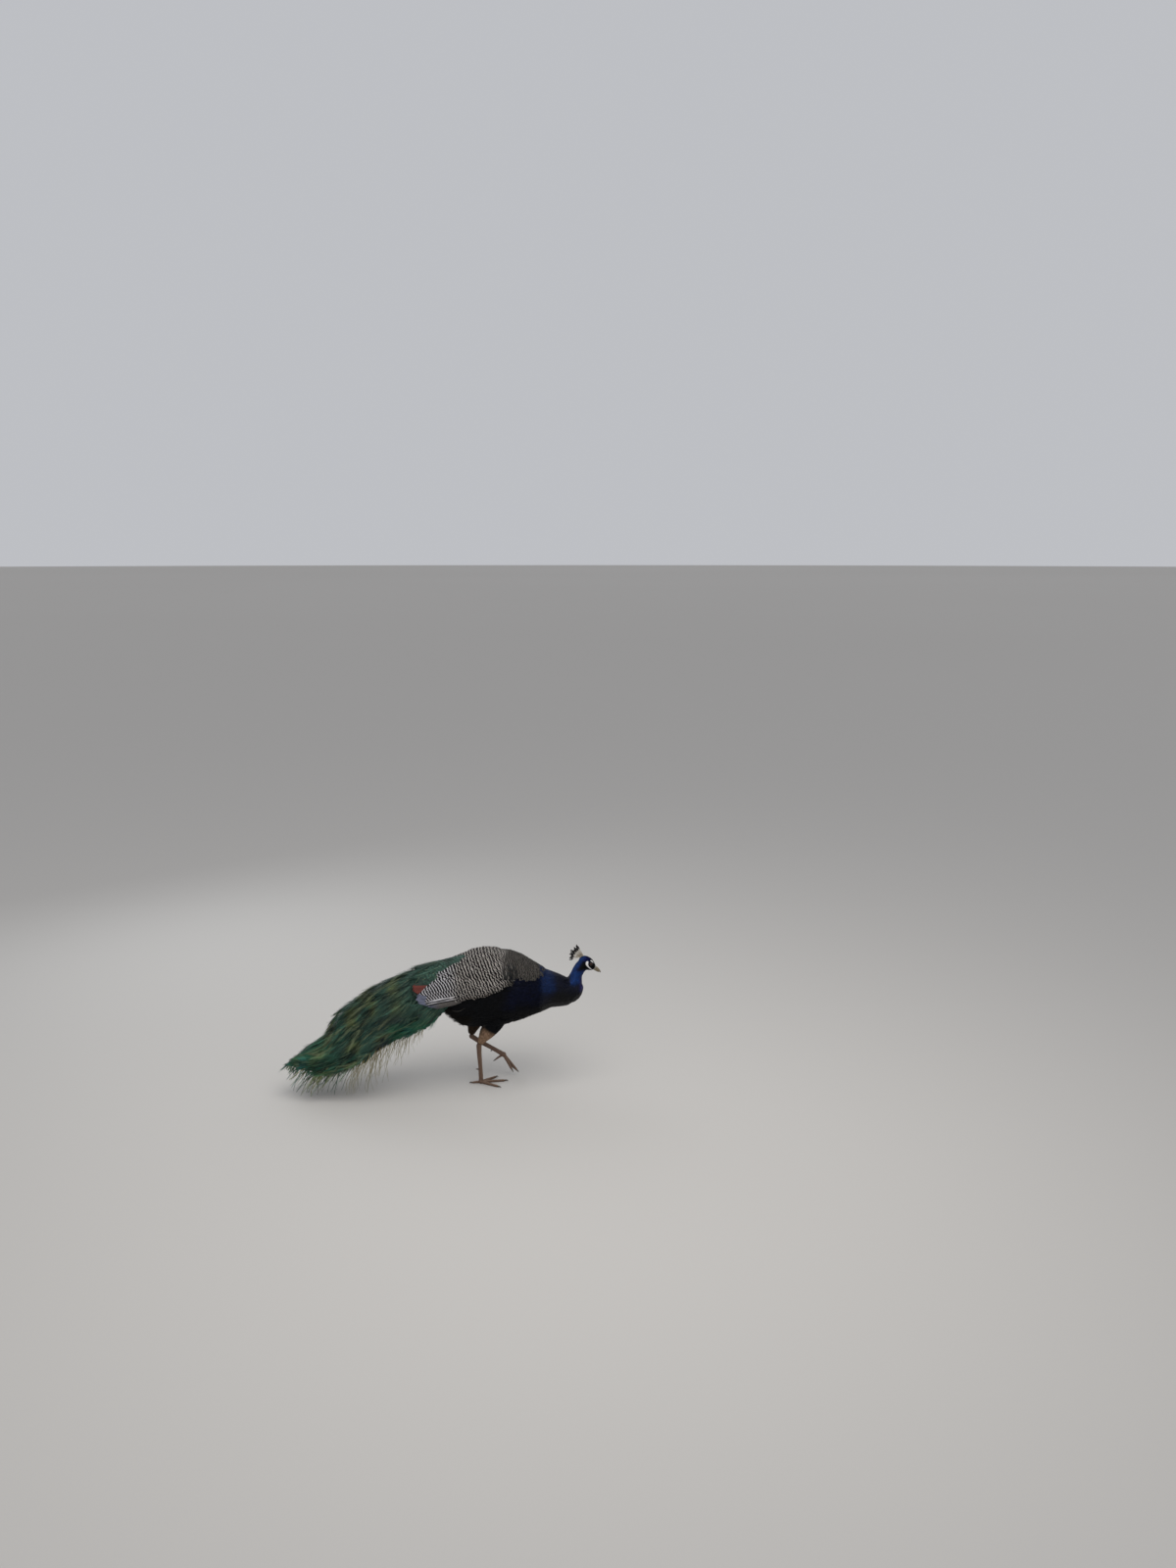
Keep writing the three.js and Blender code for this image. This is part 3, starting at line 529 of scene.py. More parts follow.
# %% [markdown]
# ## Making a piece
# Thousands of feathers become one mesh, because a joined mesh exports as it is. The builder takes plain
# arrays, stores the paint and the barb lines as attributes, and adds the map OFBake. On that map each
# feather is a tiny patch at its root's place on the coat's own unwrap, so a texture baked later keeps
# each feather's colour to itself.

# %% Arrays to a mesh piece
PATCH = 0.003  # size of one feather on the bake map


def make_piece(name, material, points, quads, paint, bake=None, barb=None):
    """A mesh of quads with its attributes and, if there is one, its bake map, riding on the bird."""
    mesh = bpy.data.meshes.new(name)
    mesh.vertices.add(len(points))
    mesh.vertices.foreach_set("co", (points * MM).astype(np.float32).ravel())
    mesh.loops.add(quads.size)
    mesh.loops.foreach_set("vertex_index", quads.astype(np.int32).ravel())
    mesh.polygons.add(len(quads))
    mesh.polygons.foreach_set("loop_start", np.arange(0, quads.size, 4, dtype=np.int32))
    mesh.polygons.foreach_set("use_smooth", np.ones(len(quads), bool))
    mesh.update(calc_edges=True)
    colours = mesh.attributes.new("Paint", "FLOAT_COLOR", "POINT")
    rgba = np.concatenate([np.clip(paint, 0.0005, 1), np.ones((len(paint), 1))], axis=1)
    colours.data.foreach_set("color", rgba.astype(np.float32).ravel())
    barb = np.zeros(len(points)) if barb is None else barb
    mesh.attributes.new("Barb", "FLOAT", "POINT").data.foreach_set("value", barb.astype(np.float32))
    if bake is not None:
        layer = mesh.uv_layers.new(name="OFBake")
        layer.data.foreach_set("uv", np.clip(bake[quads.ravel()], 0, 1).astype(np.float32).ravel())
    mesh.materials.append(material)
    piece = placed(name, mesh)
    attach(piece, "root")
    print(f"{name}: {2 * len(quads)} triangles")
    return piece


# %% [markdown]
# ## One vane, many times
# A contour feather is a curved leaf: narrow at the root, widest past the middle, round at the tip. Each
# one is a small grid. Its middle line walks along the lie of the coat in short steps and is snapped to
# the ground at each step, so that long feathers bend with the body. Then the grid goes outwards: sunk at
# the root, raised at the tip, lower at its edges than along its shaft.

# %% Laying vanes
SHARP_TURN = 0.5  # sine of the angle at which a surface turns away from under a feather
SHORT = 60.0  # longer feathers bend with the surface at any edge
DROOP = 0.35  # fall of a feather beyond an edge, for each millimetre of its length


def walk(ground, roots, lengths, steps, way=lie, turn=None):
    """Middle lines of feathers: points, facings and ways at each step from root to tip. A short feather
    that comes to a sharp edge goes on beyond it, and droops a little."""
    count, rows = len(roots), len(steps)
    line, facing, along = np.empty((3, count, rows, 3))
    spot, out = ground.near(roots)
    beyond = np.zeros(count, bool)
    for k in range(rows):
        heading = way(spot, out)
        if turn is not None:  # a slight turn off the lie, about the facing
            heading = unit(heading + np.cross(out, heading) * turn[:, None])
        line[:, k], facing[:, k], along[:, k] = spot, out, heading
        if k + 1 < rows:
            stride = (lengths * (steps[k + 1] - steps[k]))[:, None]
            ahead = spot + heading * stride
            snapped, snapped_out = ground.near(ahead)
            beyond |= ((snapped_out * heading).sum(axis=1) > SHARP_TURN) & (lengths < SHORT)
            spot = np.where(beyond[:, None], ahead - DROOP * out * stride, snapped)
            out = np.where(beyond[:, None], out, snapped_out)
    return line, facing, along

# %% [markdown]
# ## From lines to leaves
# Each middle line becomes a grid, as wide as a leaf is at that share of its length. The paint function of
# the piece then colours it.

# %% Vanes on the lines
def leaf_width(s):
    """Half width of a round-tipped vane from root to tip, as a share of its widest."""
    swell = 0.4 + 0.6 * np.sin(np.clip(s / 0.6, 0, 1) * math.pi / 2)
    return swell * (1 - 0.5 * np.clip((s - 0.6) / 0.4, 0, 1) ** 2)


def grid_quads(count, rows, cols):
    """Corner numbers of the quads of `count` grids of rows x cols points."""
    i, j = np.meshgrid(np.arange(rows - 1), np.arange(cols - 1), indexing="ij")
    first = (i * cols + j).ravel()
    one = np.stack([first, first + 1, first + cols + 1, first + cols], axis=1)
    return (one[None] + (np.arange(count) * rows * cols)[:, None, None]).reshape(-1, 4)


def vanes(ground, roots, lengths, widths, rows=5, cols=5, sink=1.6, rise=1.0, camber=0.12, fringe=0.05,
          round_tip=0.16, seed=0, way=lie, sway=0.12, width_of=leaf_width):
    """Grids of leaf-shaped vanes: points (count, rows, cols, 3), the share along and across, the lines."""
    dice = np.random.default_rng(seed)
    count = len(roots)
    steps = np.linspace(0, 1, rows)
    line, facing, along = walk(ground, roots, lengths, steps, way, dice.normal(0, sway, count))
    across = unit(np.cross(facing, along))
    v = np.linspace(-1, 1, cols)
    half = widths[:, None] / 2 * width_of(steps)[None]
    back = round_tip * lengths[:, None, None] * steps[None, :, None] ** 2 * v ** 2
    ragged = fringe * dice.normal(size=(count, rows, cols))
    back = back + lengths[:, None, None] * ragged * (steps ** 6)[:, None]
    lift = (-sink + (sink + rise * dice.uniform(0.7, 1.3, (count, 1))) * steps ** 1.5)[:, :, None]
    lift = lift - camber * widths[:, None, None] * v ** 2
    points = (line[:, :, None] + across[:, :, None] * (half[..., None] * v)[..., None]
              - along[:, :, None] * back[..., None] + facing[:, :, None] * lift[..., None])
    return points, np.broadcast_to(steps[:, None], (rows, cols)), v, line


def bake_patches(roots, along_share, across):
    """Each feather's patch on the bake map: its grid, shrunk to PATCH, at the root's place."""
    centre = unwrap(roots)
    grid = np.stack(np.broadcast_arrays(along_share - 0.5, across / 2), axis=-1) * PATCH
    return (centre[:, None, None] + grid).reshape(-1, 2)


def vane_piece(name, material, slot, ground, roots, lengths, widths, paint_of, **shape):
    """A piece of plain vanes whose paint comes from `paint_of(line middle, share along)`."""
    lengths, widths = (np.full(len(roots), sizes, float) for sizes in (lengths, widths))
    points, share, v, line = vanes(ground, roots, lengths, widths, **shape)
    count, rows, cols = points.shape[:3]
    paint = np.broadcast_to(paint_of(line, share), points.shape)
    barb = lengths[:, None, None] * share + 0.6 * widths[:, None, None] / 2 * np.abs(v)
    return make_piece(name, material, points.reshape(-1, 3), grid_quads(count, rows, cols),
                      paint.reshape(-1, 3), bake_patches(roots, share, v), barb.ravel())


def coat_paint(shade, seed):
    """Paint from the body's own markings, darker or lighter feather by feather."""
    def paint_of(line, share):
        count, rows = line.shape[:2]
        dice = np.random.default_rng(seed + 50)
        base = plumage(line.reshape(-1, 3)).reshape(count, rows, 1, 3)
        return base * dice.uniform(1 - shade, 1 + shade, (count, 1, 1, 1))
    return paint_of


# %% [markdown]
# ## The skin
# One closed skin stands under the whole coat. It is the smooth ground again, let in by the depth of the
# feathers: a millimetre on the face, five on the body. It only shows between feathers, so it is darker
# than the coat, as painted shade: the coat's colours at six tenths, and dark green under the primaries
# and the cape. Under the barred tracts it carries umber crossbars.

# %% Skin under the coat
def coat_depth(points):
    """How far the skin lies under the outline."""
    return 1.0 + 4.2 * ramp(points[:, 0], 330, 270) * ramp(points[:, 2], 380, 330)


skin_ground = Ground(remeshed(COATED, 3.0, 6))
skin_points = skin_ground.points - skin_ground.normals * coat_depth(skin_ground.points)[:, None]
skin_finish = feather_finish("skin_and_down", roughness=0.8, spread=0.25, grain=400.0)
above_skin = owner(skin_ground.points)
under_bars = np.isin(above_skin, [n for n in ("mantle", *WINGS) if not n.endswith("primaries")])
under_green = np.char.endswith(above_skin, "primaries") | (above_skin == "train_cape")
slant = skin_ground.points[:, 0] + 0.4 * skin_ground.points[:, 2]
crossbars = 0.5 + 0.5 * np.sin(slant * 2 * math.pi / 7)
# Painted shade between the feathers: the coat's colours at six tenths, and green at four tenths under the
# primaries and the cape; umber crossbars under the barred tracts.
skin_paint = over(plumage(skin_ground.points) * 0.6, UMBER, under_bars * (0.25 + 0.5 * crossbars))
skin_paint = over(skin_paint, GREEN * 0.4, under_green)
skin = make_piece("skin", skin_finish, skin_points, skin_ground.quads, skin_paint,
                  unwrap(skin_ground.points))
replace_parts(skin, *FLESH)

# %% [markdown]
# ## Face: bare skin, lids and eyes
# A peacock's face is black with two bare white patches: a short line over the eye, and a broad crescent
# that starts behind the eye and runs forward below it. They are strips laid on the side of the head,
# bulging a little, with their rims sunk under the feathers around them. The eye is dark brown with a
# black pupil. Its ball is round, and the lids close on it as a narrow almond-shaped ring.

# %% Bare patches
# Each patch in the head's frame: places along and up, and half widths, from its rear end to its front one.
PATCHES = {
    "below": [(-4, 11, 2.4), (-4.5, 6.5, 4.2), (-1.5, 1.5, 3.9), (4, -1.6, 2.7), (11, -3.4, 2.1),
              (18, -4.6, 1.5), (23, -4.8, 0.7)],
    "above": [(1.5, 17.2, 0.7), (4, 17.9, 1.5), (7.5, 17.8, 1.6), (11, 16.8, 1.3), (14.5, 15, 0.6)],
}
EYE_AT = (9.5, 9.0, 9.6)  # along, up and out
EYE_RADIUS = 5.4
CHEEK = 16.0  # where a search for the side of the head starts, out from the middle


def from_head(along, up, out):
    """World places from the head's frame."""
    in_plane = np.multiply.outer(along, HEAD_AXIS) + np.multiply.outer(up, HEAD_UP)
    return HEAD_AT + in_plane + np.multiply.outer(out, np.array([0.0, 1, 0]))


def both_sides(made_on):
    """The grids that `made_on` gives for the right side, -1, and the left side, 1."""
    return np.array([made_on(-1), made_on(1)])


def on_side(points):
    """The points moved sideways only, until they are on the coat's ground; and the ways it faces there."""
    spots = points.copy()
    for _ in range(6):
        near, facing = coat.near(spots)
        spots[..., 1] = near[..., 1]
    return spots, facing


def plain_finish(name, roughness, spread, grain, coat=0.0, gloss=0.5, relief=0.2):
    """Skin, horn or eye: painted colour, uneven by fine noise that also makes a low relief."""
    material, tree, shader = new_finish(name, roughness, coat=coat, gloss=gloss)
    noise = uneven_paint(tree, shader, spread, grain, 3.0)
    embossed(tree, shader, noise, "Fac", relief, 0.0005)
    return material


def unrolled(name, finish, grids, paint):
    """A piece from grids (count, rows, cols, 3), spread evenly over the bake map."""
    count, rows, cols = grids.shape[:3]
    shares = np.arange(count), np.linspace(0, 1, rows), np.linspace(0, 1, cols)
    k, i, j = np.meshgrid(*shares, indexing="ij")
    bake = np.stack([(k + 0.05 + 0.9 * i) / count, 0.05 + 0.9 * j], axis=-1).reshape(-1, 2)
    paint = np.broadcast_to(paint, grids.shape).reshape(-1, 3)
    return make_piece(name, finish, grids.reshape(-1, 3), grid_quads(count, rows, cols), paint, bake)


bare_skin = plain_finish("bare_white_skin", roughness=0.5, spread=0.1, grain=1500.0)
for label, stops in PATCHES.items():
    line = smooth_line(np.array(stops, float), 5)
    run = unit(np.gradient(line[:, :2], axis=0))
    v = np.linspace(-1, 1, 9)
    along = line[:, 0, None] - run[:, 1, None] * line[:, 2, None] * v
    up = line[:, 1, None] + run[:, 0, None] * line[:, 2, None] * v

    def patch(side):
        spots, facing = on_side(from_head(along, up, np.full(along.shape, CHEEK * side)))
        return spots + facing * (0.4 - 0.8 * v ** 4)[None, :, None]

    unrolled(f"white_patch_{label}_eye", bare_skin, both_sides(patch), WHITE)

# %% [markdown]
# ## Eyes
# Each eye is most of a ball whose front bulges a little. The iris is drawn as rings by their distance
# from the middle of the pupil.

# %% Eyes
theta = np.linspace(0.001, math.pi * 0.62, 26)  # from the middle of the pupil outwards
phi = np.linspace(0, 2 * math.pi, 41)
ball = EYE_RADIUS * (1 + 0.03 * np.exp(-(theta / 0.5) ** 2))
rho, height = (ball * np.sin(theta))[:, None], (ball * np.cos(theta))[:, None]
along, up, out = EYE_AT[0] + rho * np.cos(phi), EYE_AT[1] + rho * np.sin(phi), EYE_AT[2] + height + 0 * phi
rho = EYE_RADIUS * np.sin(theta)
iris = over(tint("2a150c"), tint("5a3018"), np.exp(-((rho - 3.0) / 0.5) ** 2))
iris = over(iris, tint("030303"), ramp(rho, 2.3, 2.0) + ramp(rho, 4.2, 4.6))
eye_finish = plain_finish("wet_eye", roughness=0.09, spread=0.15, grain=2500.0, coat=0.08, gloss=0.22,
                          relief=0.0)
eyes = unrolled("eyes", eye_finish, both_sides(lambda side: from_head(along, up, side * out)),
                iris[:, None])
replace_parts(eyes, "eye_left", "eye_right")

# %% [markdown]
# ## Lids
# A lid is a ring from a narrow almond on the ball to a wider one under the feathers of the face.

# %% Lids
s = np.linspace(0, 1, 8)[:, None]  # from the rim on the ball to the rim under the feathers
corner = 0.5 * np.abs(np.cos(phi)) ** 8 * (1 - s)
along = EYE_AT[0] + (4.1 + 2.6 * s + corner) * np.cos(phi)
up = EYE_AT[1] + (3.5 + 2.7 * s) * np.sin(phi)
apart = np.minimum(np.hypot(along - EYE_AT[0], up - EYE_AT[1]), EYE_RADIUS * 0.97)
on_ball = EYE_AT[2] + np.sqrt(EYE_RADIUS ** 2 - apart ** 2) + 0.3


def lids(side):
    """A ring that goes from the eyeball out to the side of the head."""
    on_head = side * on_side(from_head(along, up, np.full(along.shape, CHEEK * side)))[0][..., 1] - 0.6
    out = on_ball + (on_head - on_ball) * ramp(s, 0.1, 1) + 0.45 * np.sin(math.pi * s)
    return from_head(along, up, side * out)


lid_skin = plain_finish("lid_skin", roughness=0.55, spread=0.2, grain=1800.0)
unrolled("eyelids", lid_skin, both_sides(lids), tint("23242a"))

# %% [markdown]
# ## Head and neck feathers
# The face has the smallest feathers of the bird, three millimetres long and flat, and they grow step by
# step down the neck to the round scales of the crop. Roots are scattered so that no two come closer than
# a given gap, which also grows down the neck. None may lie on the eye or on the bare patches.

# %% Small feathers of the head and neck
def bareness(points):
    """True on the eye and on the white patches."""
    place = np.stack(head_frame(points), axis=1)
    bare = np.linalg.norm(place - EYE_AT[:2], axis=1) < EYE_RADIUS
    for stops in PATCHES.values():
        line = smooth_line(np.array(stops, float), 5)
        apart = np.linalg.norm(place[:, None] - line[None, :, :2], axis=2) - line[None, :, 2]
        bare |= apart.min(axis=1) < -0.4
    return bare & (points[:, 2] > 350)


def neck_gap(points):
    """Distance between roots: tight on the face, wider down the neck."""
    on_head = ramp(points[:, 2], 350, 378) * ramp(points[:, 0], 296, 312)
    on_face = ramp(head_frame(points)[0], -22, -8) * on_head
    return 5.2 - 3.4 * on_head - 0.45 * on_face - 1.2 * ramp(points[:, 2], 300, 345) * (1 - on_head)


def in_neck(points, facing):
    return (points[:, 0] > 196) & (head_frame(points)[0] < 28)


silk = feather_finish("silky_blue_plumage", roughness=0.4, metallic=0.5, spread=0.3, gloss=0.3)
neck_roots = coat.scatter(in_neck, neck_gap, 11)
tips = neck_roots + lie(neck_roots, coat.near(neck_roots)[1]) * (2.2 * neck_gap(neck_roots))[:, None]
neck_roots = neck_roots[~(bareness(neck_roots) | bareness(tips) | bareness((neck_roots + tips) / 2))]
neck_sizes = neck_gap(neck_roots)
vane_piece("neck_feathers", silk, "blue", coat, neck_roots, neck_sizes * 2.6, neck_sizes * 1.9,
           coat_paint(0.3, 1), rows=4, cols=4, sink=0.8, rise=0.5, seed=1)

# %% [markdown]
# ## Breast, belly and thighs
# Behind the crop the feathers are as long as a thumb joint, dark and close. They loosen towards the vent
# and shorten again down the thighs.

# %% Body feathers
velvet = feather_finish("dark_body_plumage", roughness=0.7, spread=0.3, gloss=0.1)


def reaching(names, shift, way):
    """True where the tip of a feather would land on the named solids, `shift` behind its root."""
    return lambda points, facing: np.isin(owner(points + way(points, facing) * shift), names)


tip_in_body = reaching(FLESH, 10, lie)


def in_body(points, facing):
    return (points[:, 0] <= 204) & tip_in_body(points, facing)


def body_gap(points):
    thighs = on_thigh(points, "left") + on_thigh(points, "right")
    return 7.4 - 2.2 * ramp(points[:, 0], 120, 200) - 4.4 * thighs


body_roots = coat.scatter(in_body, body_gap, 12)
body_sizes = body_gap(body_roots)
body_lengths = np.maximum(body_sizes * 2.9, 11)  # none is shorter, so that the thighs stay covered
vane_piece("body_feathers", velvet, "belly", coat, body_roots, body_lengths, body_sizes * 1.8,
           coat_paint(0.35, 2), sink=2.0, rise=0.8, seed=2)

# %% [markdown]
# ## Barred feathers of the back and wings
# A young cock's back and wings are the colour of sand, crossed by wavy black bars. If the bars were only
# paint, a baked texture would smear them, so they are geometry: each vane is cut into bands across its
# shaft, and pale and dark bands go into pieces of their own. The bands count from a distance along the
# lie that neighbours share, so that bars nearly meet from one feather to the next, as they do on the
# bird. They lean a little: their lower ends are nearer to the root.

# %% Vanes cut into bands
def at_share(stations, share):
    """Values between the stations of each line at the given shares of its length."""
    last = stations.shape[1] - 1
    where = np.clip(share, 0, 1) * last
    low = np.minimum(where.astype(int), last - 1)
    part = (where - low)[..., None]
    row = np.arange(len(stations))[:, None, None]
    return stations[row, low] * (1 - part) + stations[row, low + 1] * part


def shaped(walked, share, v, half, lengths, widths, sink, rise, camber, round_tip, extra):
    """Points of vanes at any shares along, (count, rows, cols), and at v across. `extra` lifts them."""
    line, facing, along = (at_share(stations, share) for stations in walked)
    across = unit(np.cross(facing, along))
    back = round_tip * lengths[:, None, None] * share ** 3 * v ** 2
    lift = -sink + (sink + rise[:, None, None]) * share ** 1.3
    lift = lift - camber * widths[:, None, None] * v ** 2 + extra
    return line + across * (half * v)[..., None] - along * back[..., None] + facing * lift[..., None]


DARK_EARLY = 0.3  # dark bands start this share of a band early, so they are wider


def banded(walked, roots, lengths, widths, period, dice, cols=7, wave=0.5, bow=0.6, lean=1.5, drift=0.1,
           sink=2.2, rise=1.6, uneven=0.3, camber=0.1, round_tip=0.14, width_of=leaf_width, halves=1,
           tilt=0.0):
    """Vanes cut into bands, as a table of arrays. Tone 1 is dark and 0 pale, and each takes `halves` bands.
    `tilt` raises their lower edges and sinks the upper ones."""
    count = len(roots)
    # Each row of a vane's grid is the start of a band, numbered so that neighbours agree.
    v = np.linspace(-1, 1, cols)
    band = period / 2 / halves
    shared = -roots[:, 0] * 0.93 - roots[:, 2] * 0.36  # distance along the lie, the same for neighbours
    phase = (shared / band + dice.normal(0, 2 * drift, count)) % 2
    rows = int(np.ceil(lengths.max() / band)) + 3
    number = np.floor(phase)[:, None].astype(int) + np.arange(rows)[None]
    dark_starts = number % (2 * halves) == halves
    start = number - phase[:, None] - DARK_EARLY * halves * dark_starts  # counted in bands
    # The edges between bands are wavy, bowed and slanted.
    turns = dice.uniform(0, 2 * math.pi, (2, count, 1, 1))
    low = -np.sign(roots[:, 1])[:, None, None] * v  # 1 along the lower edge of each vane
    bend = wave * (np.sin(math.pi * 1.1 * v + turns[0]) + 0.5 * np.sin(math.pi * 2.3 * v + turns[1]))
    bend = bend + 0.3 * wave * dice.normal(size=(count, rows, cols)) - bow * v ** 2 - lean * low
    inner = (start > 0) & (start * band < lengths[:, None])
    far = start[..., None] * band + bend * inner[..., None]
    share = np.maximum.accumulate(np.clip(far / lengths[:, None, None], 0, 1), axis=1)
    half = widths[:, None, None] / 2 * width_of(share)
    lifts = rise * dice.uniform(1 - uneven, 1 + uneven, count)
    points = shaped(walked, share, v, half, lengths, widths, sink, lifts, camber, round_tip, tilt * low)
    # Bands before the root or past the tip have no length, and are dropped.
    quads = grid_quads(count, rows, cols)
    along = share.reshape(-1)[quads]
    real = (along[:, 3] - along[:, 0] > 1e-5) | (along[:, 2] - along[:, 1] > 1e-5)
    barb = lengths[:, None, None] * share + 0.3 * widths[:, None, None] * np.abs(v)
    feather = np.repeat(np.arange(count), rows * cols)
    return {
        "points": points.reshape(-1, 3), "quads": quads[real], "barb": barb.ravel(), "feather": feather,
        "tone": np.repeat(number[:, :-1, None] // halves % 2, cols - 1, axis=2).ravel()[real],
        "low": np.broadcast_to(low, share.shape).ravel(), "shade": dice.uniform(0.86, 1.14, count)[feather],
        "bake": bake_patches(roots, share, np.broadcast_to(v, share.shape)),
    }

# %% [markdown]
# ## One piece for each tone
# The table of a tract holds quads of all tones. Each tone takes its own quads, and only the points that
# these use, into a piece.

# %% Pieces of one tone
def compact(points, quads, *others):
    """Only the points that the quads use, renumbered."""
    used, numbers = np.unique(quads, return_inverse=True)
    return points[used], numbers.reshape(quads.shape), *(o[used] for o in others)


def toned_pieces(name, finish, table, tones):
    """One piece for each tone of the table. `tones` holds a label and a paint function for each number."""
    made = []
    for number, (label, paint_of) in enumerate(tones):
        chosen = table["quads"][table["tone"] == number]
        spots, faces, barb, bake, shade = compact(table["points"], chosen, table["barb"], table["bake"],
                                                  table["shade"])
        paint = paint_of(spots) * shade[:, None]
        made.append(make_piece(f"{name}_{label}", finish, spots, faces, paint, bake, barb))
    return made


# %% [markdown]
# ## Mantle, shoulder feathers and coverts
# The mantle between the shoulders is finely and unevenly marked, the shoulder feathers and coverts
# boldly. They lie back and a little down over the flank. Each tract's roots start ahead of it, under the
# feathers of the tract before, so that no bare skin shows along the joins. Where the wing comes out from
# under the mantle, a dark greenish shadow is painted over the pale bands.

# %% Barred tracts
SAND = tint("aaa49d")
SNOW = tint("c2c0c3")
TAN = tint("816f5e")
GREY_SAND = tint("67635c")
WING_ROOT_SHADOW = tint("1e2624")
INK = tint("131215")
dull = feather_finish("barred_plumage", roughness=0.78, spread=0.16, gloss=0.15)


def falling(angle):
    """Ways that run straight back and fall at an angle."""
    return np.stack([-np.cos(angle), 0 * angle, -np.sin(angle)], axis=1)


def wing_way(points, facing):
    """Feathers of the back slope down over the side, more steeply high up than low on the flank."""
    return on_surface(falling(np.radians(16 + 12 * ramp(points[:, 2], 320, 400))), facing)


def all_over(colour):
    """A paint function that gives one colour everywhere."""
    return lambda points, *_: np.tile(colour, (len(points), 1))


def sand_paint(points):
    """Pale bands: sand, browner low on the coverts, greyer between the shoulders, whiter at the rear."""
    x, _, z = points.T
    wave = ripple(points, 45, 4)
    colour = over(SAND, TAN, 0.75 * ramp(z + 8 * wave, 342, 308) * ramp(x, -90, -30))
    colour = over(colour, SNOW, ramp(x, -60, -110))
    colour = over(colour, GREY_SAND, ramp(x + 10 * wave, 62, 100))
    # Painted shadow: dark green where the wing comes out from under the mantle.
    hollow = np.exp(-((x - 92) / 30) ** 2 - ((z - 396) / 30) ** 2)
    hollow = hollow * (0.85 + 0.35 * ripple(points, 16, 13))
    return over(colour, WING_ROOT_SHADOW, 0.9 * ramp(hollow, 0.25, 0.85))


def steady(size):
    """The same distance between roots everywhere."""
    return lambda points: np.full(len(points), float(size))


def scattered_bands(name, nodes, gap, length, width, period, way, seed, **shape):
    """The two pieces of one tract, from roots scattered ahead of it; they replace the tract's solids."""
    dice = np.random.default_rng(seed)
    roots = coat.scatter(reaching(nodes, 0.7 * length, way), steady(gap), seed)
    lengths = length * dice.uniform(0.9, 1.1, len(roots))
    widths = width * dice.uniform(0.92, 1.08, len(roots))
    walked = walk(coat, roots, lengths, np.linspace(0, 1, 8), way, dice.normal(0, 0.08, len(roots)))
    table = banded(walked, roots, lengths, widths, period, dice, **shape)
    made = toned_pieces(name, dull, table, [("pale", sand_paint), ("dark", all_over(INK))])
    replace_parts(made[0], *nodes)


scattered_bands("mantle_feathers", ["mantle"], gap=7.2, length=21, width=14, period=5.6, way=lie, seed=21,
                drift=0.4, wave=1.0, lean=0, sink=1.8, rise=1.2)
scattered_bands("shoulder_feathers", [n for n in WINGS if n.endswith("scapulars")], gap=8.5, length=33,
                width=21, period=9.0, way=wing_way, seed=22, rise=2.2, wave=1.0, bow=1.6, drift=0.06)
scattered_bands("wing_coverts", [n for n in WINGS if n.endswith("coverts")], gap=8.5, length=32, width=20,
                period=8.6, way=wing_way, seed=23, wave=1.0, bow=1.6, drift=0.06)

# %% [markdown]
# ## Long feathers of the folded wing
# Under the coverts the long secondaries reach back to the wing's point, each showing only its lower edge
# below the one above. The upper ones are barred. Two in the middle carry white streaks along a dark web,
# the lowest are freckled grey, and the wing's end is lilac grey. Above them chestnut primaries peep out.

# %% Flight feathers
# From the lowest up: height of the lower edge where the feather comes out, fall in degrees, x of its end.
SECONDARIES = [(313, 11.5, -150), (319, 11, -168), (328, 10, -186), (338, 11, -197), (347, 10.5, -203),
               (357, 11, -200), (367, 12, -190), (377, 13, -177), (387, 14, -163), (397, 16, -146)]
FRECKLED = 2  # so many of the lowest are finely barred in grey and brown
FLANK = 95.0  # where a search for the side of the body starts, out from the middle
PRIMARIES = [(351, 5, -203), (357, 5, -210), (363, 5, -214), (369, 5, -212)]
LILAC = tint("666a7c")
FRECKLE = tint("6f6a66")
CHESTNUT = tint("6c332b")
flight_finish = feather_finish("flight_plumage", roughness=0.6, spread=0.2, gloss=0.25)


def long_width(s):
    """A long feather is nearly even in width, and rounds off over its last sixth."""
    rounding = ((s - 0.84) / 0.165).clip(0, 1) ** 2
    return (0.9 + 0.1 * ramp(s, 0, 0.3)) * np.sqrt(np.clip(1 - rounding, 0.06, 1))


def folded_feathers(stack, dice, root_x, width, sink, rise, period):
    """Long vanes on both sides from a stack of rows. Gives their table and each quad's row of the stack."""
    low_z, fall, end = np.array([*stack, *stack], float).T
    side = np.repeat([1.0, -1.0], len(stack))
    starts = np.stack([np.full(len(side), root_x), FLANK * side, low_z + 0.4 * width], axis=1)
    roots = on_side(starts)[0]
    slope = np.radians(fall)
    lengths = (root_x - end) / np.cos(slope)
    walked = walk(coat, roots, lengths, np.linspace(0, 1, 12), lambda p, f: on_surface(falling(slope), f))
    lifts = rise + 0.15 * np.tile(np.arange(len(stack)), 2)
    table = banded(walked, roots, lengths, np.full(len(side), float(width)), period, dice, cols=15,
                   drift=0.05, sink=sink, rise=lifts, uneven=0, camber=0.0, round_tip=0.03,
                   width_of=long_width, halves=2, tilt=1.0)
    return table, table["feather"][table["quads"][:, 0]] % len(stack)


def lilac_paint(points):
    """Freckled grey that turns lilac towards the wing's end."""
    return over(FRECKLE, LILAC, ramp(points[:, 0], -120, -160))

# %% [markdown]
# ## Secondaries and primaries
# The tone of each quad is set by its place: streaks along the dark webs of two feathers, fine bars on the
# lowest ones, lilac grey at the end, and chestnut on the primaries.

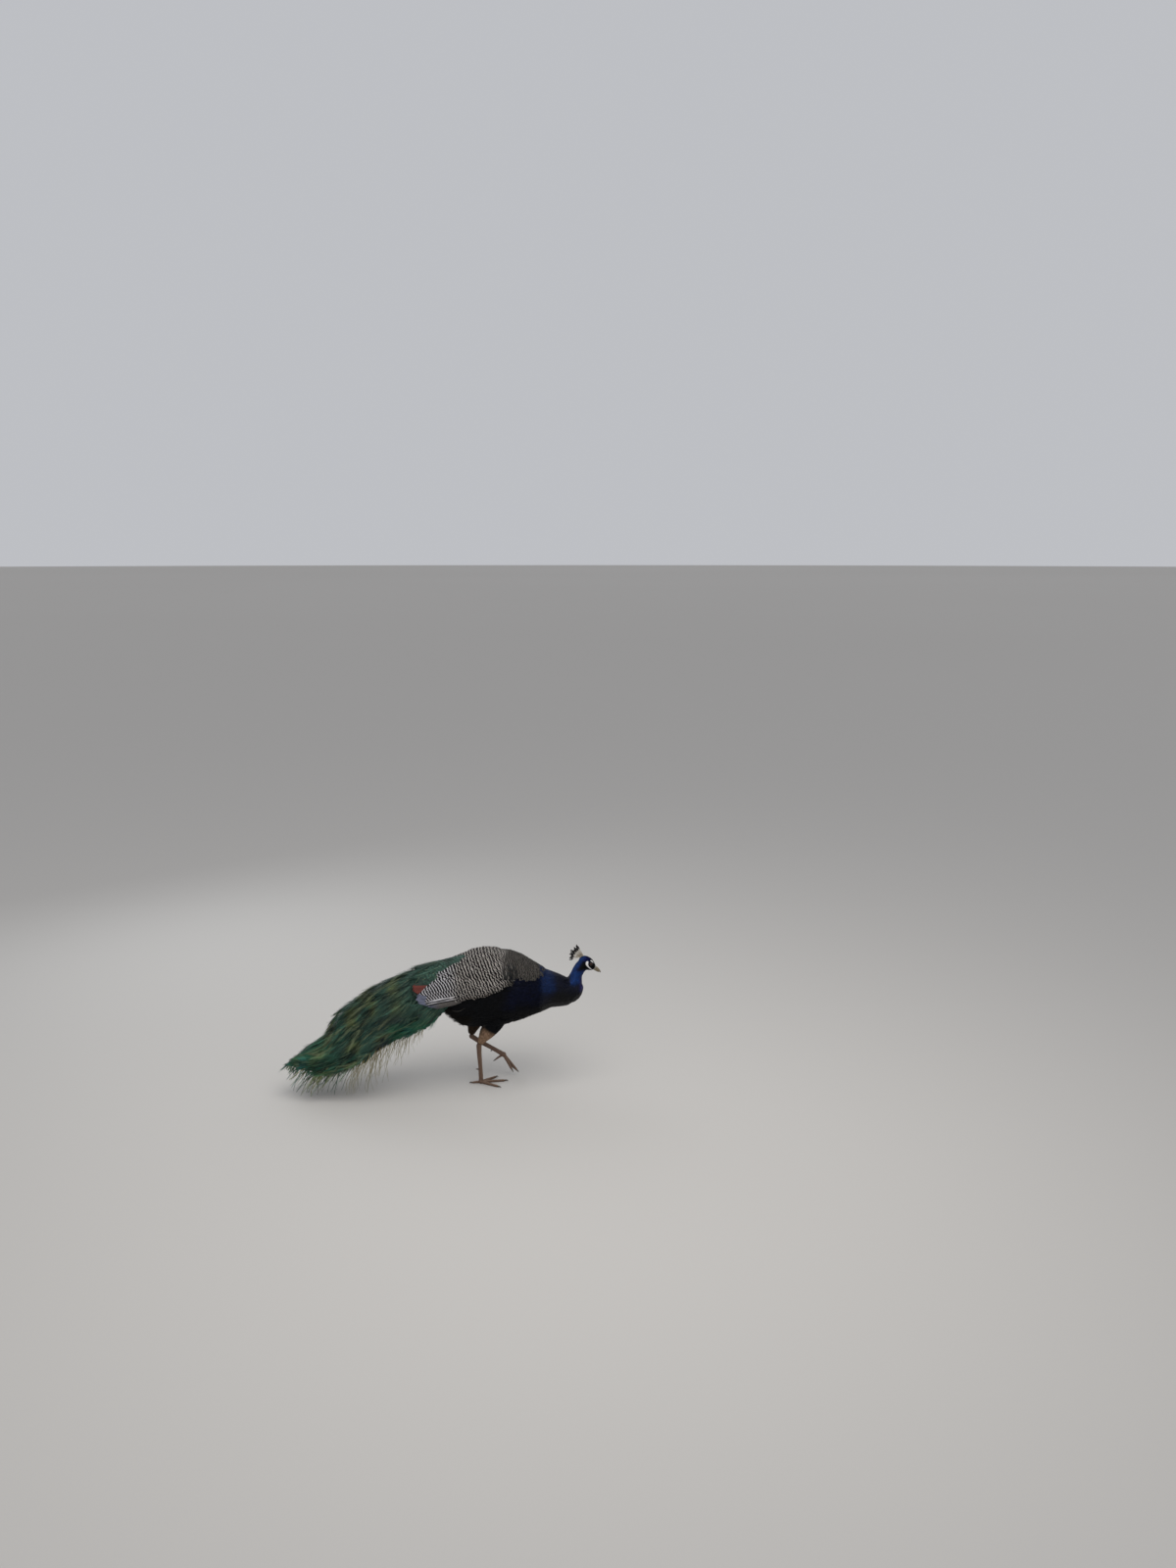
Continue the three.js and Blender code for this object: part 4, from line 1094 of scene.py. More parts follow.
# %% Streaks, freckles and the wing's end
dice = np.random.default_rng(24)
table, row = folded_feathers(SECONDARIES[FRECKLED:], dice, root_x=-48, width=22, sink=1.3, rise=0.2,
                             period=8.6)
low = table["low"][table["quads"]].mean(axis=1)
middles = table["points"][table["quads"]].mean(axis=1)
x = middles[:, 0] + 3 * ripple(middles, 12, 5)
streaked = (row < 2) & (x < -66)
table["tone"][streaked] = 1
bow = 0.6 + 0.1 * np.sin((x + 66) / 30 + row)
half_streak = 0.19 * ramp(x, -60, -84) * ramp(x, -176, -150)
table["tone"][streaked & (np.abs(low - bow) < half_streak)] = 0
table["tone"][(x < -168) & (row < 4)] = 2
secondaries = toned_pieces("secondaries", flight_finish, table,
                           [("pale", sand_paint), ("dark", all_over(INK)), ("grey", lilac_paint)])
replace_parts(secondaries[0], "wing_left_secondaries", "wing_right_secondaries")

table, row = folded_feathers(SECONDARIES[:FRECKLED], dice, root_x=-48, width=22, sink=1.3, rise=0.0,
                             period=2.9)
table["tone"][table["points"][table["quads"]].mean(axis=1)[:, 0] < -158] = 0
toned_pieces("secondaries_low", flight_finish, table,
             [("grey", lilac_paint), ("brown", lambda p: 0.4 * lilac_paint(p))])

table, row = folded_feathers(PRIMARIES, dice, root_x=-120, width=16, sink=2.8, rise=-2.0, period=7.0)
table["tone"][:] = 0
primaries = toned_pieces("primaries", flight_finish, table, [("chestnut", all_over(CHESTNUT))])
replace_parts(primaries[0], "wing_left_primaries", "wing_right_primaries")

# %% [markdown]
# ## The green cape
# From between the wings a cape of round scales runs back over the rump and covers the roots of the train.
# Each scale is bronze green with a darker rim. Here and there a few neighbours catch the light and look
# pale teal: smooth noise picks those.

# %% Cape scales
BRONZE = tint("535c37")
DEEP_GREEN = tint("1b352b")
EMERALD = tint("1b5a40")
PALE_TEAL = tint("86aaa6")
SLATE = tint("2b3138")


def green_paint(points):
    """Greens of the back and train: bronze and deep green in drifts, emerald at the end, slate below."""
    x, _, z = points.T
    drift = ripple(points, 90, 6)
    colour = over(GREEN, BRONZE, ramp(drift, -0.3, 0.8) * ramp(x, -200, -300))
    colour = over(colour, DEEP_GREEN, ramp(ripple(points, 75, 7), 0.1, 0.9))
    colour = over(colour, EMERALD, ramp(x + 25 * drift, -430, -520) * 0.6)
    below = ramp(z, 290, 245) * ramp(x, -345, -300) * ramp(x, -170, -230)
    colour = over(colour, SLATE, below * ramp(ripple(points, 60, 8), -0.5, 0.4))
    colour = over(colour, EMERALD, 0.7 * ramp(z, 268, 240) * ramp(x, -310, -260))
    return over(colour, TEAL, ramp(ripple(points, 60, 9), 0.7, 1.3) * ramp(x, -170, -260) * 0.5)


gleam = feather_finish("green_scale_plumage", roughness=0.45, metallic=0.35, spread=0.35, gloss=0.3)
RIM = -186  # the cape's rear rim
RIM_FRONT = -164  # a scale rooted behind this would reach past the rim
tip_in_cape = reaching(["train_cape"], 15, wing_way)
root_in_cape = reaching(["train_cape", *(n for n in WINGS if n.endswith("primaries"))], 0, wing_way)


def in_cape(points, facing):
    """On the cape, or just above the primaries, but not at the rear rim."""
    above = (points[:, 0] < -110) & (points[:, 2] > 377)
    inside = tip_in_cape(points, facing) | (above & root_in_cape(points, facing))
    return inside & (points[:, 0] > RIM_FRONT)


def cape_paint(line, share):
    """Scales with dark rims; some drifts of them shine."""
    count = len(line)
    dice = np.random.default_rng(31)
    base = green_paint(line[:, 2]) * dice.uniform(0.65, 1.35, (count, 1))
    shine = ramp(ripple(line[:, 2], 40, 10) + dice.normal(0, 0.3, count), 0.9, 1.3)
    shine = shine * ramp(line[:, 2, 2], 340, 370)
    base = over(base, PALE_TEAL, 0.6 * shine)
    return over(base[:, None, None], BLACK, 0.7 * ramp(share, 0.8, 1.0))


cape_roots = coat.scatter(in_cape, steady(6.9), 31)
cape = vane_piece("cape_feathers", gleam, "train", coat, cape_roots, 24, 17, cape_paint, rows=6, sink=2.0,
                  seed=31, way=wing_way)
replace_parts(cape, "train_cape")

# %% [markdown]
# ## The train's ground and bed
# The train hangs like a cloak: a sheet of feathers over an open hollow. Its ground is the smooth skin
# over the train's solids. The bed is the outer side of that ground, let in a little: a sheet that keeps
# the light from shining through between the plumes, painted at half the green of the train as painted
# shade between them. Over its front part lie dull scales like those of the cape.

# %% Train ground and bed
TRAIN = ["train_middle", "train_lower", "train_tips"]
train_ground = Ground(remeshed(["train_cape", *TRAIN], 3.2, 6))
edge_x = np.arange(-600, 0, 12.0)
edge_z = []
for start in edge_x:
    beside = np.abs(train_ground.points[:, 0] - start) < 8
    edge_z.append(train_ground.points[beside, 2].min() if beside.any() else np.nan)
found = ~np.isnan(edge_z)
edge_x, edge_z = edge_x[found], np.array(edge_z)[found]


def above_edge(points):
    """Height above the train's lower edge."""
    return points[:, 2] - np.interp(points[:, 0], edge_x, edge_z)


def outward(points):
    """The way out of the hollow, across the bird."""
    middle = np.stack([points[:, 0], 0 * points[:, 0], np.interp(points[:, 0], edge_x, edge_z)], axis=1)
    return unit(points - middle)


steepness = np.pad(np.arctan(np.gradient(edge_z, edge_x)), 3, mode="edge")
edge_fall = np.convolve(steepness, np.ones(7) / 7, "valid")


def train_way(points, facing):
    """Train feathers fall down the sides, and turn along the lower edge when they reach it."""
    along_edge = np.interp(points[:, 0], edge_x, edge_fall)
    free = ramp(above_edge(points), 18, 110) * ramp(points[:, 0], -560, -440)
    return on_surface(falling(along_edge + (math.radians(41) - along_edge) * free), facing)


def is_outside(points, facing, least=0.25):
    """True on the side of the sheet that faces away from the hollow."""
    return (facing * outward(points)).sum(axis=1) > least


middles = train_ground.points[train_ground.quads].mean(axis=1)
in_bed = is_outside(middles, train_ground.facing, -0.3)
bed_points, bed_quads, bed_normals = compact(train_ground.points, train_ground.quads[in_bed],
                                             train_ground.normals)
bed_points = bed_points - bed_normals * 3.5
down_finish = feather_finish("train_underside", roughness=0.8, spread=0.4, grain=300.0, gloss=0.1)
# Painted shade between the plumes: the bed's green is half that of the train.
bed = make_piece("train_bed", down_finish, bed_points, bed_quads, green_paint(bed_points) * 0.5,
                 unwrap(bed_points), bed_points[:, 2])
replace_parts(bed, *TRAIN)


def wing_covers(points):
    """True where a wing lies over the train, so that no plume may show."""
    return (points[:, 0] > -225) & np.isin(owner(points), WINGS)


def scale_paint(line, share):
    """Dull green scales with dark rims."""
    base = green_paint(line[:, 2]) * np.random.default_rng(35).uniform(0.35, 1.0, (len(line), 1))
    return over(base[:, None, None], BLACK, 0.6 * ramp(share, 0.75, 1.0))


def in_scales(points, facing):
    """On the front of the train, but not at the cape's rear rim or on the step under it."""
    along = (points[:, 0] < -100) & (points[:, 0] > -380) & (facing[:, 0] > -0.75)
    at_rim = (points[:, 0] < RIM_FRONT) & (points[:, 0] > RIM)
    return along & ~at_rim & is_outside(points, facing) & ~wing_covers(points)


scale_roots = train_ground.scatter(in_scales, steady(9.5), 35)
vane_piece("train_scales", gleam, "train", train_ground, scale_roots, 30, 18, scale_paint, rows=6,
           sink=3.0, rise=0.5, seed=35, way=train_way)

# %% [markdown]
# ## Plumes with loose barbs
# Train feathers have no firm vane: the barbs hang free of each other, which makes the train stringy. A
# plume is a thin shaft and, on both sides of it, one narrow ribbon for each visible barb, that bends
# towards the tip. The shaft walks down the train's ground, and past the edge it hangs on by its own
# weight.

# %% Plumes
STATIONS = 12  # points along a plume's shaft
SWAY = 0.14  # how far the plumes turn off their way, in radians
HANG = 0.06  # how fast a free plume turns downwards
HOLD = 9.0  # a plume further than this from the ground is free


def free_walk(roots, lengths, dice):
    """Middle lines that follow the train's ground where there is any, and fall free beyond it. The last
    array gives how much of each line falls."""
    count = len(roots)
    line, facing, along = np.empty((3, count, STATIONS, 3))
    spot, out = train_ground.near(roots)
    step = lengths[:, None] / (STATIONS - 1)
    turn = dice.normal(0, SWAY, count)[:, None]
    curl = dice.normal(0, SWAY / STATIONS * 1.5, count)[:, None]
    heading = train_way(spot, out)
    heading = unit(heading + np.cross(out, heading) * turn)
    fallen = np.zeros(count)
    for k in range(STATIONS):
        line[:, k], facing[:, k], along[:, k] = spot, out, heading
        ahead = spot + heading * step
        snapped, snapped_out = train_ground.near(ahead)
        lost = np.linalg.norm(snapped - ahead, axis=1) > HOLD
        lost |= (snapped_out * outward(snapped)).sum(axis=1) < 0.1
        spot = np.where(lost[:, None], ahead, snapped)
        out = np.where(lost[:, None], out, snapped_out)
        turn = turn + curl
        wanted = unit(train_way(spot, out) + np.cross(out, heading) * turn)
        sinking = unit(heading + np.array([0, 0, -HANG]))
        heading = np.where(lost[:, None], sinking, unit(0.5 * heading + 0.5 * wanted))
        fallen += lost / STATIONS
    return (line, facing, along), fallen


def lifted(walked, root, tip, most, dice):
    """The lines raised off the ground by `root` to `tip`, each by its own share."""
    line, facing, along = walked
    rise = np.linspace(root, tip, line.shape[1])[None, :, None] * dice.uniform(0.4, most, (len(line), 1, 1))
    return line + facing * rise, facing, along

# %% [markdown]
# ## Barbs and shafts
# Along each shaft, barbs leave on both sides at a small angle and bend back towards it. Where a wing lies
# over the train, neither barbs nor shafts are made.

# %% Barbs and shafts
BOTH_EDGES = np.array([-1.0, 1.0])


def ribbons(paths, sideways, widths):
    """Flat strips along paths (..., rows, 3), `widths` (..., rows) wide: points (..., rows, 2, 3)."""
    offset = sideways * widths[..., None] / 2
    return np.stack([paths - offset, paths + offset], axis=-2)


def barbs(walked, lengths, dice, spacing=2.7, reach=34.0, angle=16.0, bare=0.06, ribbon=1.0, rows=5,
          loose=1.5, droop=0.0):
    """Barb strips of plumes, and for each strip its plume, its share along the shaft, and the shares along
    itself."""
    count = len(lengths)
    # Barbs leave at even distances, a little shaken; shorter plumes miss some.
    per_side = int(lengths.max() * (1 - bare) / spacing)
    place = np.arange(per_side)[None, :, None] + dice.random((count, per_side, 2))
    place = bare + (1 - bare) * place / per_side
    present = dice.random(place.shape) < (lengths / lengths.max())[:, None, None]
    at, out, way = (at_share(stations, place) for stations in walked)
    across = unit(np.cross(out, way)) * BOTH_EDGES[None, None, :, None]
    # They get shorter and closer to the shaft towards its tip.
    size = reach * np.clip(1.2 - 0.7 * place, 0.3, 1) * dice.uniform(0.6, 1.35, place.shape)
    spread = np.radians(angle * (1.1 - 0.5 * place) * dice.uniform(0.4, 1.5, place.shape))
    start = way * np.cos(spread)[..., None] + across * np.sin(spread)[..., None]
    start = unit(start + out * dice.normal(0.06, 0.08, place.shape)[..., None])
    # Each bends back to the shaft, sways and droops.
    t = np.linspace(0, 1, rows)
    run = size[..., None] * t
    paths = at[..., None, :] + start[..., None, :] * run[..., None]
    paths = paths - across[..., None, :] * (0.12 * run * t)[..., None]
    turns = dice.uniform(0, 2 * math.pi, (*place.shape, 1))
    sway = loose * t * np.sin(turns + 5 * t)
    paths = paths + np.cross(out, start)[..., None, :] * sway[..., None]
    paths[..., 2] -= droop * run * t
    flat = np.broadcast_to(unit(np.cross(out, start))[..., None, :], paths.shape)
    width = ribbon * (1 - 0.7 * t) * dice.uniform(0.7, 1.3, place.shape)[..., None]
    strips = ribbons(paths, flat, width)[present]
    plume = np.broadcast_to(np.arange(count)[:, None, None], place.shape)[present]
    return strips, plume, place[present], t


def plume_piece(name, finish, slot, roots, walked, lengths, paint_of, dice, shaft=1.2, shaft_tint=None,
                tones=(0.6, 1.5), **shape):
    """A piece of plumes: shafts and barbs. `paint_of(points, plume, share)` gives each strip's colour."""
    strips, plume, place, t = barbs(walked, lengths, dice, **shape)
    rows = strips.shape[1]
    clear = ~(wing_covers(strips[:, -1, 0]) | wing_covers(strips[:, rows // 2, 0]))
    strips, plume, place = strips[clear], plume[clear], place[clear]
    line, facing, along = walked
    count, stations = line.shape[:2]
    down_shaft = np.linspace(0, 1, stations)
    taper = np.broadcast_to(shaft * (1 - 0.7 * down_shaft), line.shape[:2])
    shafts = ribbons(line + facing * 0.4, unit(np.cross(facing, along)), taper)
    points = np.concatenate([strips.reshape(-1, 3), shafts.reshape(-1, 3)])
    hidden = wing_covers(line.reshape(-1, 3)).repeat(2)
    shaft_quads = grid_quads(count, stations, 2)
    shaft_quads = shaft_quads[~hidden[shaft_quads].any(axis=1)] + strips.size // 3
    quads = np.concatenate([grid_quads(len(strips), rows, 2), shaft_quads])
    paint = paint_of(strips.mean(axis=(1, 2)), plume, place) * dice.uniform(*tones, len(strips))[:, None]
    stem_paint = paint_of(line.mean(axis=1), np.arange(count), np.full(count, 0.5)) * 1.2
    if shaft_tint is not None:
        stem_paint = 0.5 * stem_paint + 0.5 * shaft_tint
    paint = np.concatenate([paint.repeat(rows * 2, axis=0), stem_paint.repeat(stations * 2, axis=0)])
    bake = np.concatenate([bake_patches(roots[plume], place[:, None, None] + 0 * t[:, None], BOTH_EDGES),
                           bake_patches(roots, down_shaft[:, None], BOTH_EDGES * 0.2)])
    return make_piece(name, finish, points, quads, paint, bake)

# %% [markdown]
# ## The train's plumes
# Three pieces, from front to rear, cover the train. Each plume has its own tone, and a few are pale
# strands.

# %% Plumes of the train
STRAW = tint("8c9670")
plume_finish = feather_finish("train_plumes", roughness=0.45, metallic=0.25, spread=0.3, relief=0.0,
                              gloss=0.3)
MOST_PLUMES = 4000  # more than any piece has


def plume_paint(points, plume, place):
    """Each plume has its own tone over the drifts of green; a few plumes are pale strands."""
    tone = np.exp(np.random.default_rng(41).normal(-0.15, 0.65, MOST_PLUMES)).clip(0.2, 2.6)
    pale = np.random.default_rng(42).random(MOST_PLUMES) < 0.16
    behind = 0.4 + 0.6 * ramp(points[:, 0], -230, -330)  # calmer in front
    colour = green_paint(points) * (tone[plume] ** behind)[:, None]
    colour = over(colour, STRAW, 0.45 * pale[plume] * behind ** 2)
    return over(colour, EMERALD, 0.4 * ramp(place, 0.75, 1.0) * ramp(points[:, 0], -330, -420))


for name, front, back, gap, length, seed in (("train_plumes_front", -92, -250, 16, 115, 51),
                                             ("train_plumes_middle", -250, -370, 17, 120, 52),
                                             ("train_plumes_rear", -370, -520, 16, 120, 53)):
    dice = np.random.default_rng(seed)
    roots = train_ground.scatter(
        lambda p, f: is_outside(p, f) & (p[:, 0] < front) & (p[:, 0] > back), steady(gap), seed)
    lengths = length * dice.uniform(0.75, 1.2, len(roots)) * ramp(roots[:, 0], -660, -480)
    walked, fallen = free_walk(roots, lengths, dice)
    kept = fallen < 0.45
    roots, lengths = roots[kept], lengths[kept]
    walked = lifted([stations[kept] for stations in walked], -1.0, 4.5, 1.4, dice)
    plume_piece(name, plume_finish, "train", roots, walked, lengths, plume_paint, dice, shaft_tint=STRAW)

# %% [markdown]
# ## Loose strings
# Barbs at the train's lower edge hang down as long yellowish strings, and along its top a few wisps stand
# off. They are wavy ribbons in the air, each with its own bend.

# %% Wavy strings
CLEARANCE = 26.0  # height of the lowest strings above the floor
WAVE = 0.07  # how far a string swings, for each millimetre of its length
STRING_ROWS = 10


def strings(name, starts, ways, lengths, widths, paint, dice, hang=0.3):
    """Thin wavy ribbons hanging free from `starts`; none comes near the floor."""
    t = np.linspace(0, 1, STRING_ROWS)
    lengths = np.minimum(lengths, (starts[:, 2] - CLEARANCE) / (hang - ways[:, 2]).clip(0.3))
    run = lengths[:, None] * t
    paths = starts[:, None] + ways[:, None] * run[..., None]
    paths[..., 2] -= hang * run * t
    turns = dice.uniform(0, 2 * math.pi, (2, len(starts), 1))
    speed = dice.uniform(3, 7, (2, len(starts), 1))
    swing = WAVE * run[None] * (np.sin(turns + speed * t) + 0.5 * np.sin(2.3 * turns + 2.1 * speed * t))
    paths = paths + unit(np.cross(ways, [0.0, 1, 0]))[:, None] * swing[0][..., None]
    paths[..., 1] += 0.3 * swing[1]
    flat = unit(np.cross(np.gradient(paths, axis=1), [0.0, 1, 0]))
    strips = ribbons(paths, flat, widths[:, None] * (1 - 0.6 * t))
    make_piece(name, plume_finish, strips.reshape(-1, 3), grid_quads(len(starts), STRING_ROWS, 2),
               np.repeat(paint, STRING_ROWS * 2, axis=0), bake_patches(starts, t[:, None], BOTH_EDGES))


def picked(wanted, count, dice):
    """Random points of the train's ground where `wanted` holds."""
    return train_ground.points[dice.choice(np.flatnonzero(wanted), count)]

# %% [markdown]
# ## Fringe, tips and wisps
# The fringe hangs almost straight down from the lower edge. At the train's end the strings trail back, and
# along the top the wisps follow the train and stand off it a little.

# %% Strings below, behind and above the train
TAWNY = tint("8d7f52")
dice = np.random.default_rng(61)
g = train_ground.points
starts = picked((above_edge(g) < 12) & (g[:, 0] > -405) & (g[:, 0] < -175), 300, dice)
ways = unit(np.array([-0.35, 0, -0.95]) + dice.normal(0, 0.16, starts.shape) * [1, 0.4, 1])
lengths = (34 + 62 * ramp(starts[:, 0], -180, -270)) * dice.uniform(0.35, 1.15, len(starts))
paint = over(TAWNY, BRONZE, dice.random(len(starts)) * 0.8)
widths = dice.uniform(0.7, 1.6, len(starts))
strings("train_fringe", starts, ways, lengths, widths, paint, dice)

starts = picked((above_edge(g) < 30) & (g[:, 0] < -400), 330, dice)
ways = unit(np.array([-0.75, 0, -0.5]) + dice.normal(0, 0.2, starts.shape) * [1, 0.4, 1])
lengths = 56 * dice.uniform(0.5, 1.25, len(starts)) * (0.3 + 0.7 * ramp(starts[:, 0], -600, -530))
paint = over(green_paint(starts), TAWNY, dice.random(len(starts)) ** 2 * 0.6)
paint = paint * np.exp(dice.normal(0, 0.6, len(starts)))[:, None].clip(0.3, 2.4)
widths = dice.uniform(0.9, 3.2, len(starts))
strings("train_tip_strings", starts, ways, lengths, widths, paint, dice, hang=0.55)

on_top = (g[:, 0] < -310) & (g[:, 0] > -480) & (np.abs(g[:, 1]) < 40) & (above_edge(g) > 120)
starts = picked(on_top, 90, dice)
facing = train_ground.near(starts)[1]
ways = unit(train_way(starts, facing) + 0.28 * facing + dice.normal(0, 0.1, starts.shape))
lengths = 42 * dice.uniform(0.6, 1.3, len(starts))
widths = dice.uniform(0.6, 1.2, len(starts))
strings("train_wisps", starts, ways, lengths, widths, green_paint(starts) * 0.9, dice, hang=0.15)

# %% [markdown]
# ## The tail
# Under the train the true tail is a tent of nine stiff brown feathers, mottled across.

# %% Tail
tail_ground = Ground(remeshed(["tail_left", "tail_right"], 2.5, 4))
TAIL_ROOT = (-176.0, 341.0)
TAIL_FALL = 151 / 236  # how fast the tail falls towards its end
BROWN = tint("4a3d31")
TAIL_FEATHERS = 9
rank = np.arange(TAIL_FEATHERS) - 4.0  # sideways, 0 in the middle
tail_line = np.array([TAIL_ROOT[0], 0, TAIL_ROOT[1] + 8]) + np.outer(rank * 4.0, [0, 1, 0])
tail_roots = tail_ground.near(tail_line)[0]


def tail_way(points, facing):
    """Back and down, with the outer feathers spread a little."""
    ones = np.ones(len(points))
    return on_surface(unit(np.stack([-ones, 0.072 * rank * 0.25, -TAIL_FALL * ones], axis=1)), facing)


def tail_paint(line, share):
    """Brown, mottled across in fine waves."""
    base = BROWN * np.random.default_rng(71).uniform(0.8, 1.2, (len(line), 1, 1, 1))
    return base * (0.8 + 0.25 * np.sin(share * 60 + 3 * np.sin(share * 17)))[..., None]


tail_finish = feather_finish("tail_feathers", roughness=0.65, spread=0.25, gloss=0.2)
tail_lengths = 272 - 4.0 * np.abs(rank)
tail = vane_piece("tail_feathers", tail_finish, "tail", tail_ground, tail_roots, tail_lengths, 22,
                  tail_paint, rows=24, cols=7, sink=1.0, rise=0.5, camber=0.04, sway=0.0, round_tip=0.02,
                  fringe=0.004, way=tail_way, width_of=long_width)
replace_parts(tail, "tail_left", "tail_right")

# %% [markdown]
# ## Down and flank edge
# Behind the thighs the body feathers turn to loose dark down. Under the wing one flank feather shows a
# thin pale edge.

# %% Down and flank edge
def at_vent(points, facing):
    """Low on the body between the thighs and the train."""
    behind = (points[:, 0] > -112) & (points[:, 0] < -22) & (points[:, 2] > 230)
    behind &= points[:, 2] < 285 - 0.35 * (points[:, 0] + 100)
    return behind & (facing[:, 2] < 0.1) & (owner(points) != "train_cape")


dice = np.random.default_rng(72)
down_roots = coat.scatter(at_vent, steady(8.5), 72)
count = len(down_roots)
down_lengths = 26 * dice.uniform(0.7, 1.2, count)
down_walk = walk(coat, down_roots, down_lengths, np.linspace(0, 1, 6), lie, dice.normal(0, 0.3, count))
down_walk = lifted(down_walk, -1, 6, 1.2, dice)
DOWN = tint("17140f")
plume_piece("vent_down", down_finish, "belly", down_roots, down_walk, down_lengths, all_over(DOWN), dice,
            shaft=0.5, spacing=1.8, reach=15, angle=38, ribbon=0.7, rows=4, loose=2.0, droop=0.25)

edge = np.linspace(0, 1, 14)
hump = np.sin(math.pi * edge).clip(0)


def flank_line(side):
    """The pale edge's line, a little off the flank."""
    arc = np.stack([-94 + 46 * edge, np.full(14, FLANK * side), 279 + 13 * edge - 6 * hump], axis=1)
    spots, facing = on_side(arc)
    return spots + facing * (2.6 * hump - 0.6)[:, None]


edge_paths = both_sides(flank_line)
edge_strips = ribbons(edge_paths, np.broadcast_to([0.0, 0, 1], edge_paths.shape),
                      np.tile(1.2 * hump ** 0.6, (2, 1)))
unrolled("flank_edges", dull, edge_strips, GREY_SAND * 0.6)

# %% [markdown]
# ## The crest
# Some two dozen bare cream shafts fan from the back of the crown, each with a small dark blue-black fan
# at its end and a little pale fluff at its foot.

# %% Crest plumes
CREST_FRONT, CREST_BACK = np.array([333.3, 0, 413.5]), np.array([327.0, 0, 411.5])
CREST_LENGTH = 42
CREST_FAN = (116, 190)  # degrees from straight ahead
CREAM = tint("b3a794")
CREST_DARK = tint("0b0a0f")
CREST_PLUMES = 24
dice = np.random.default_rng(81)
count = CREST_PLUMES
# Roots along the crown, then for each shaft its angle in the fan, a lean to one side and a bow.
part = (np.arange(count) + dice.uniform(0.2, 0.8, count)) / count
roots = CREST_FRONT + (CREST_BACK - CREST_FRONT) * part[:, None]
roots = roots + dice.normal(0, 1, (count, 1)) * [0, 1.6, 0]
angle = np.radians(CREST_FAN[0] + (CREST_FAN[1] - CREST_FAN[0]) * part)
lean = np.radians(dice.uniform(-14, 14, count))
ways = np.stack([np.cos(angle) * np.cos(lean), np.sin(lean), np.sin(angle) * np.cos(lean)], axis=1)
lengths = CREST_LENGTH * dice.uniform(0.8, 1.0, count)
t = np.linspace(0, 1, 9)
bow = np.stack([-np.sin(angle), 0 * angle, np.cos(angle)], axis=1) * dice.normal(0, 1.5, (count, 1))
line = roots[:, None] + ways[:, None] * (lengths[:, None] * t)[..., None] + bow[:, None] * (t ** 2)[:, None]
along = unit(np.gradient(line, axis=1))
facing = unit(np.cross(along, np.cross([0.0, 1, 0], along) + 0.3 * dice.normal(size=(count, 1, 3))))
crest_walk = (line, facing, along)
crest_finish = feather_finish("crest_plumes", roughness=0.5, spread=0.2, relief=0.0, gloss=0.3)
crest = plume_piece("crest_fans", crest_finish, "crest", roots, crest_walk, lengths, all_over(CREST_DARK),
                    dice, shaft=0.3, spacing=0.62, reach=7.0, angle=42, bare=0.74, ribbon=1.9, rows=4,
                    loose=0.3)
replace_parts(crest, "crest")
plume_piece("crest_shafts", crest_finish, "crest", roots, crest_walk, lengths * 0.97, all_over(CREAM), dice,
            shaft=1.0, spacing=2.2, reach=5.0, angle=30, bare=0.02, ribbon=0.35, rows=3, loose=0.5,
            tones=(0.7, 1.0))

# %% [markdown]
# ## Bill, claws and spurs
# Horn is smooth and hard, paler at the base and darker at the tip. The bill hooks down at its end, and a
# nostril opens as a slit on each side under a soft flap. Each horn part is its solid, evenly remeshed and
# rounded.

# %% Horn parts
HORN = tint("7b6e57")
HORN_TIP = tint("463d31")
LORE = tint("8d877b")
NOSTRIL_AT = np.array([33.5, 5.0])  # along and up in the head's frame
horn = plain_finish("horn", roughness=0.42, spread=0.14, grain=700.0)


def horn_piece(name, nodes, voxel, rounds, shape_and_paint):
    """A remeshed horn part. `shape_and_paint(points, normals)` gives its final points and colours."""
    ground = Ground(remeshed(nodes, voxel, rounds))
    points, paint = shape_and_paint(ground.points, ground.normals)
    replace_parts(make_piece(name, horn, points, ground.quads, paint), *nodes)


def bill_shape(points, normals):
    """The bill with its nostrils: a pit under a flap on each side, painted black as painted shade."""
    along, up = head_frame(points)
    behind, above = along - NOSTRIL_AT[0], up - NOSTRIL_AT[1]
    pit = np.exp(-((behind / 3.2) ** 2 + (above / 1.1) ** 2) ** 2) * (np.abs(points[:, 1]) > 1.5)
    flap = np.exp(-(behind / 4.0) ** 2 - ((above - 2.0) / 1.3) ** 2)
    points = points + normals * (0.45 * flap - 0.9 * pit)[:, None]
    paint = over(HORN, LORE, ramp(along, 36, 28))
    paint = over(paint, HORN_TIP, ramp(along, 44, 57))
    # The pit is painted black: painted shade in the nostril's opening.
    return points, over(paint, BLACK, 0.85 * pit)


def claw_shape(points, _):
    """Claws and spurs keep their shape, in one dark colour."""
    return points, np.tile(HORN_TIP * 1.25, (len(points), 1))


horn_piece("bill_upper_horn", ["bill_upper"], 0.42, 9, bill_shape)
horn_piece("bill_lower_horn", ["bill_lower"], 0.42, 9, bill_shape)
horn_piece("claws", [n for n in solids if n.startswith("claw_")], 0.4, 3, claw_shape)
horn_piece("spurs", ["spur_left", "spur_right"], 0.45, 3, claw_shape)

# %% [markdown]
# ## Legs and feet
# Shanks and toes are bare, covered with horny scales: broad plates one above the other in front, small
# round ones at the sides and behind. The solids are joined per leg and rounded by a fine remesh. Plates
# are low steps pushed out of the mesh along each limb, and the small scales are relief in the finish.

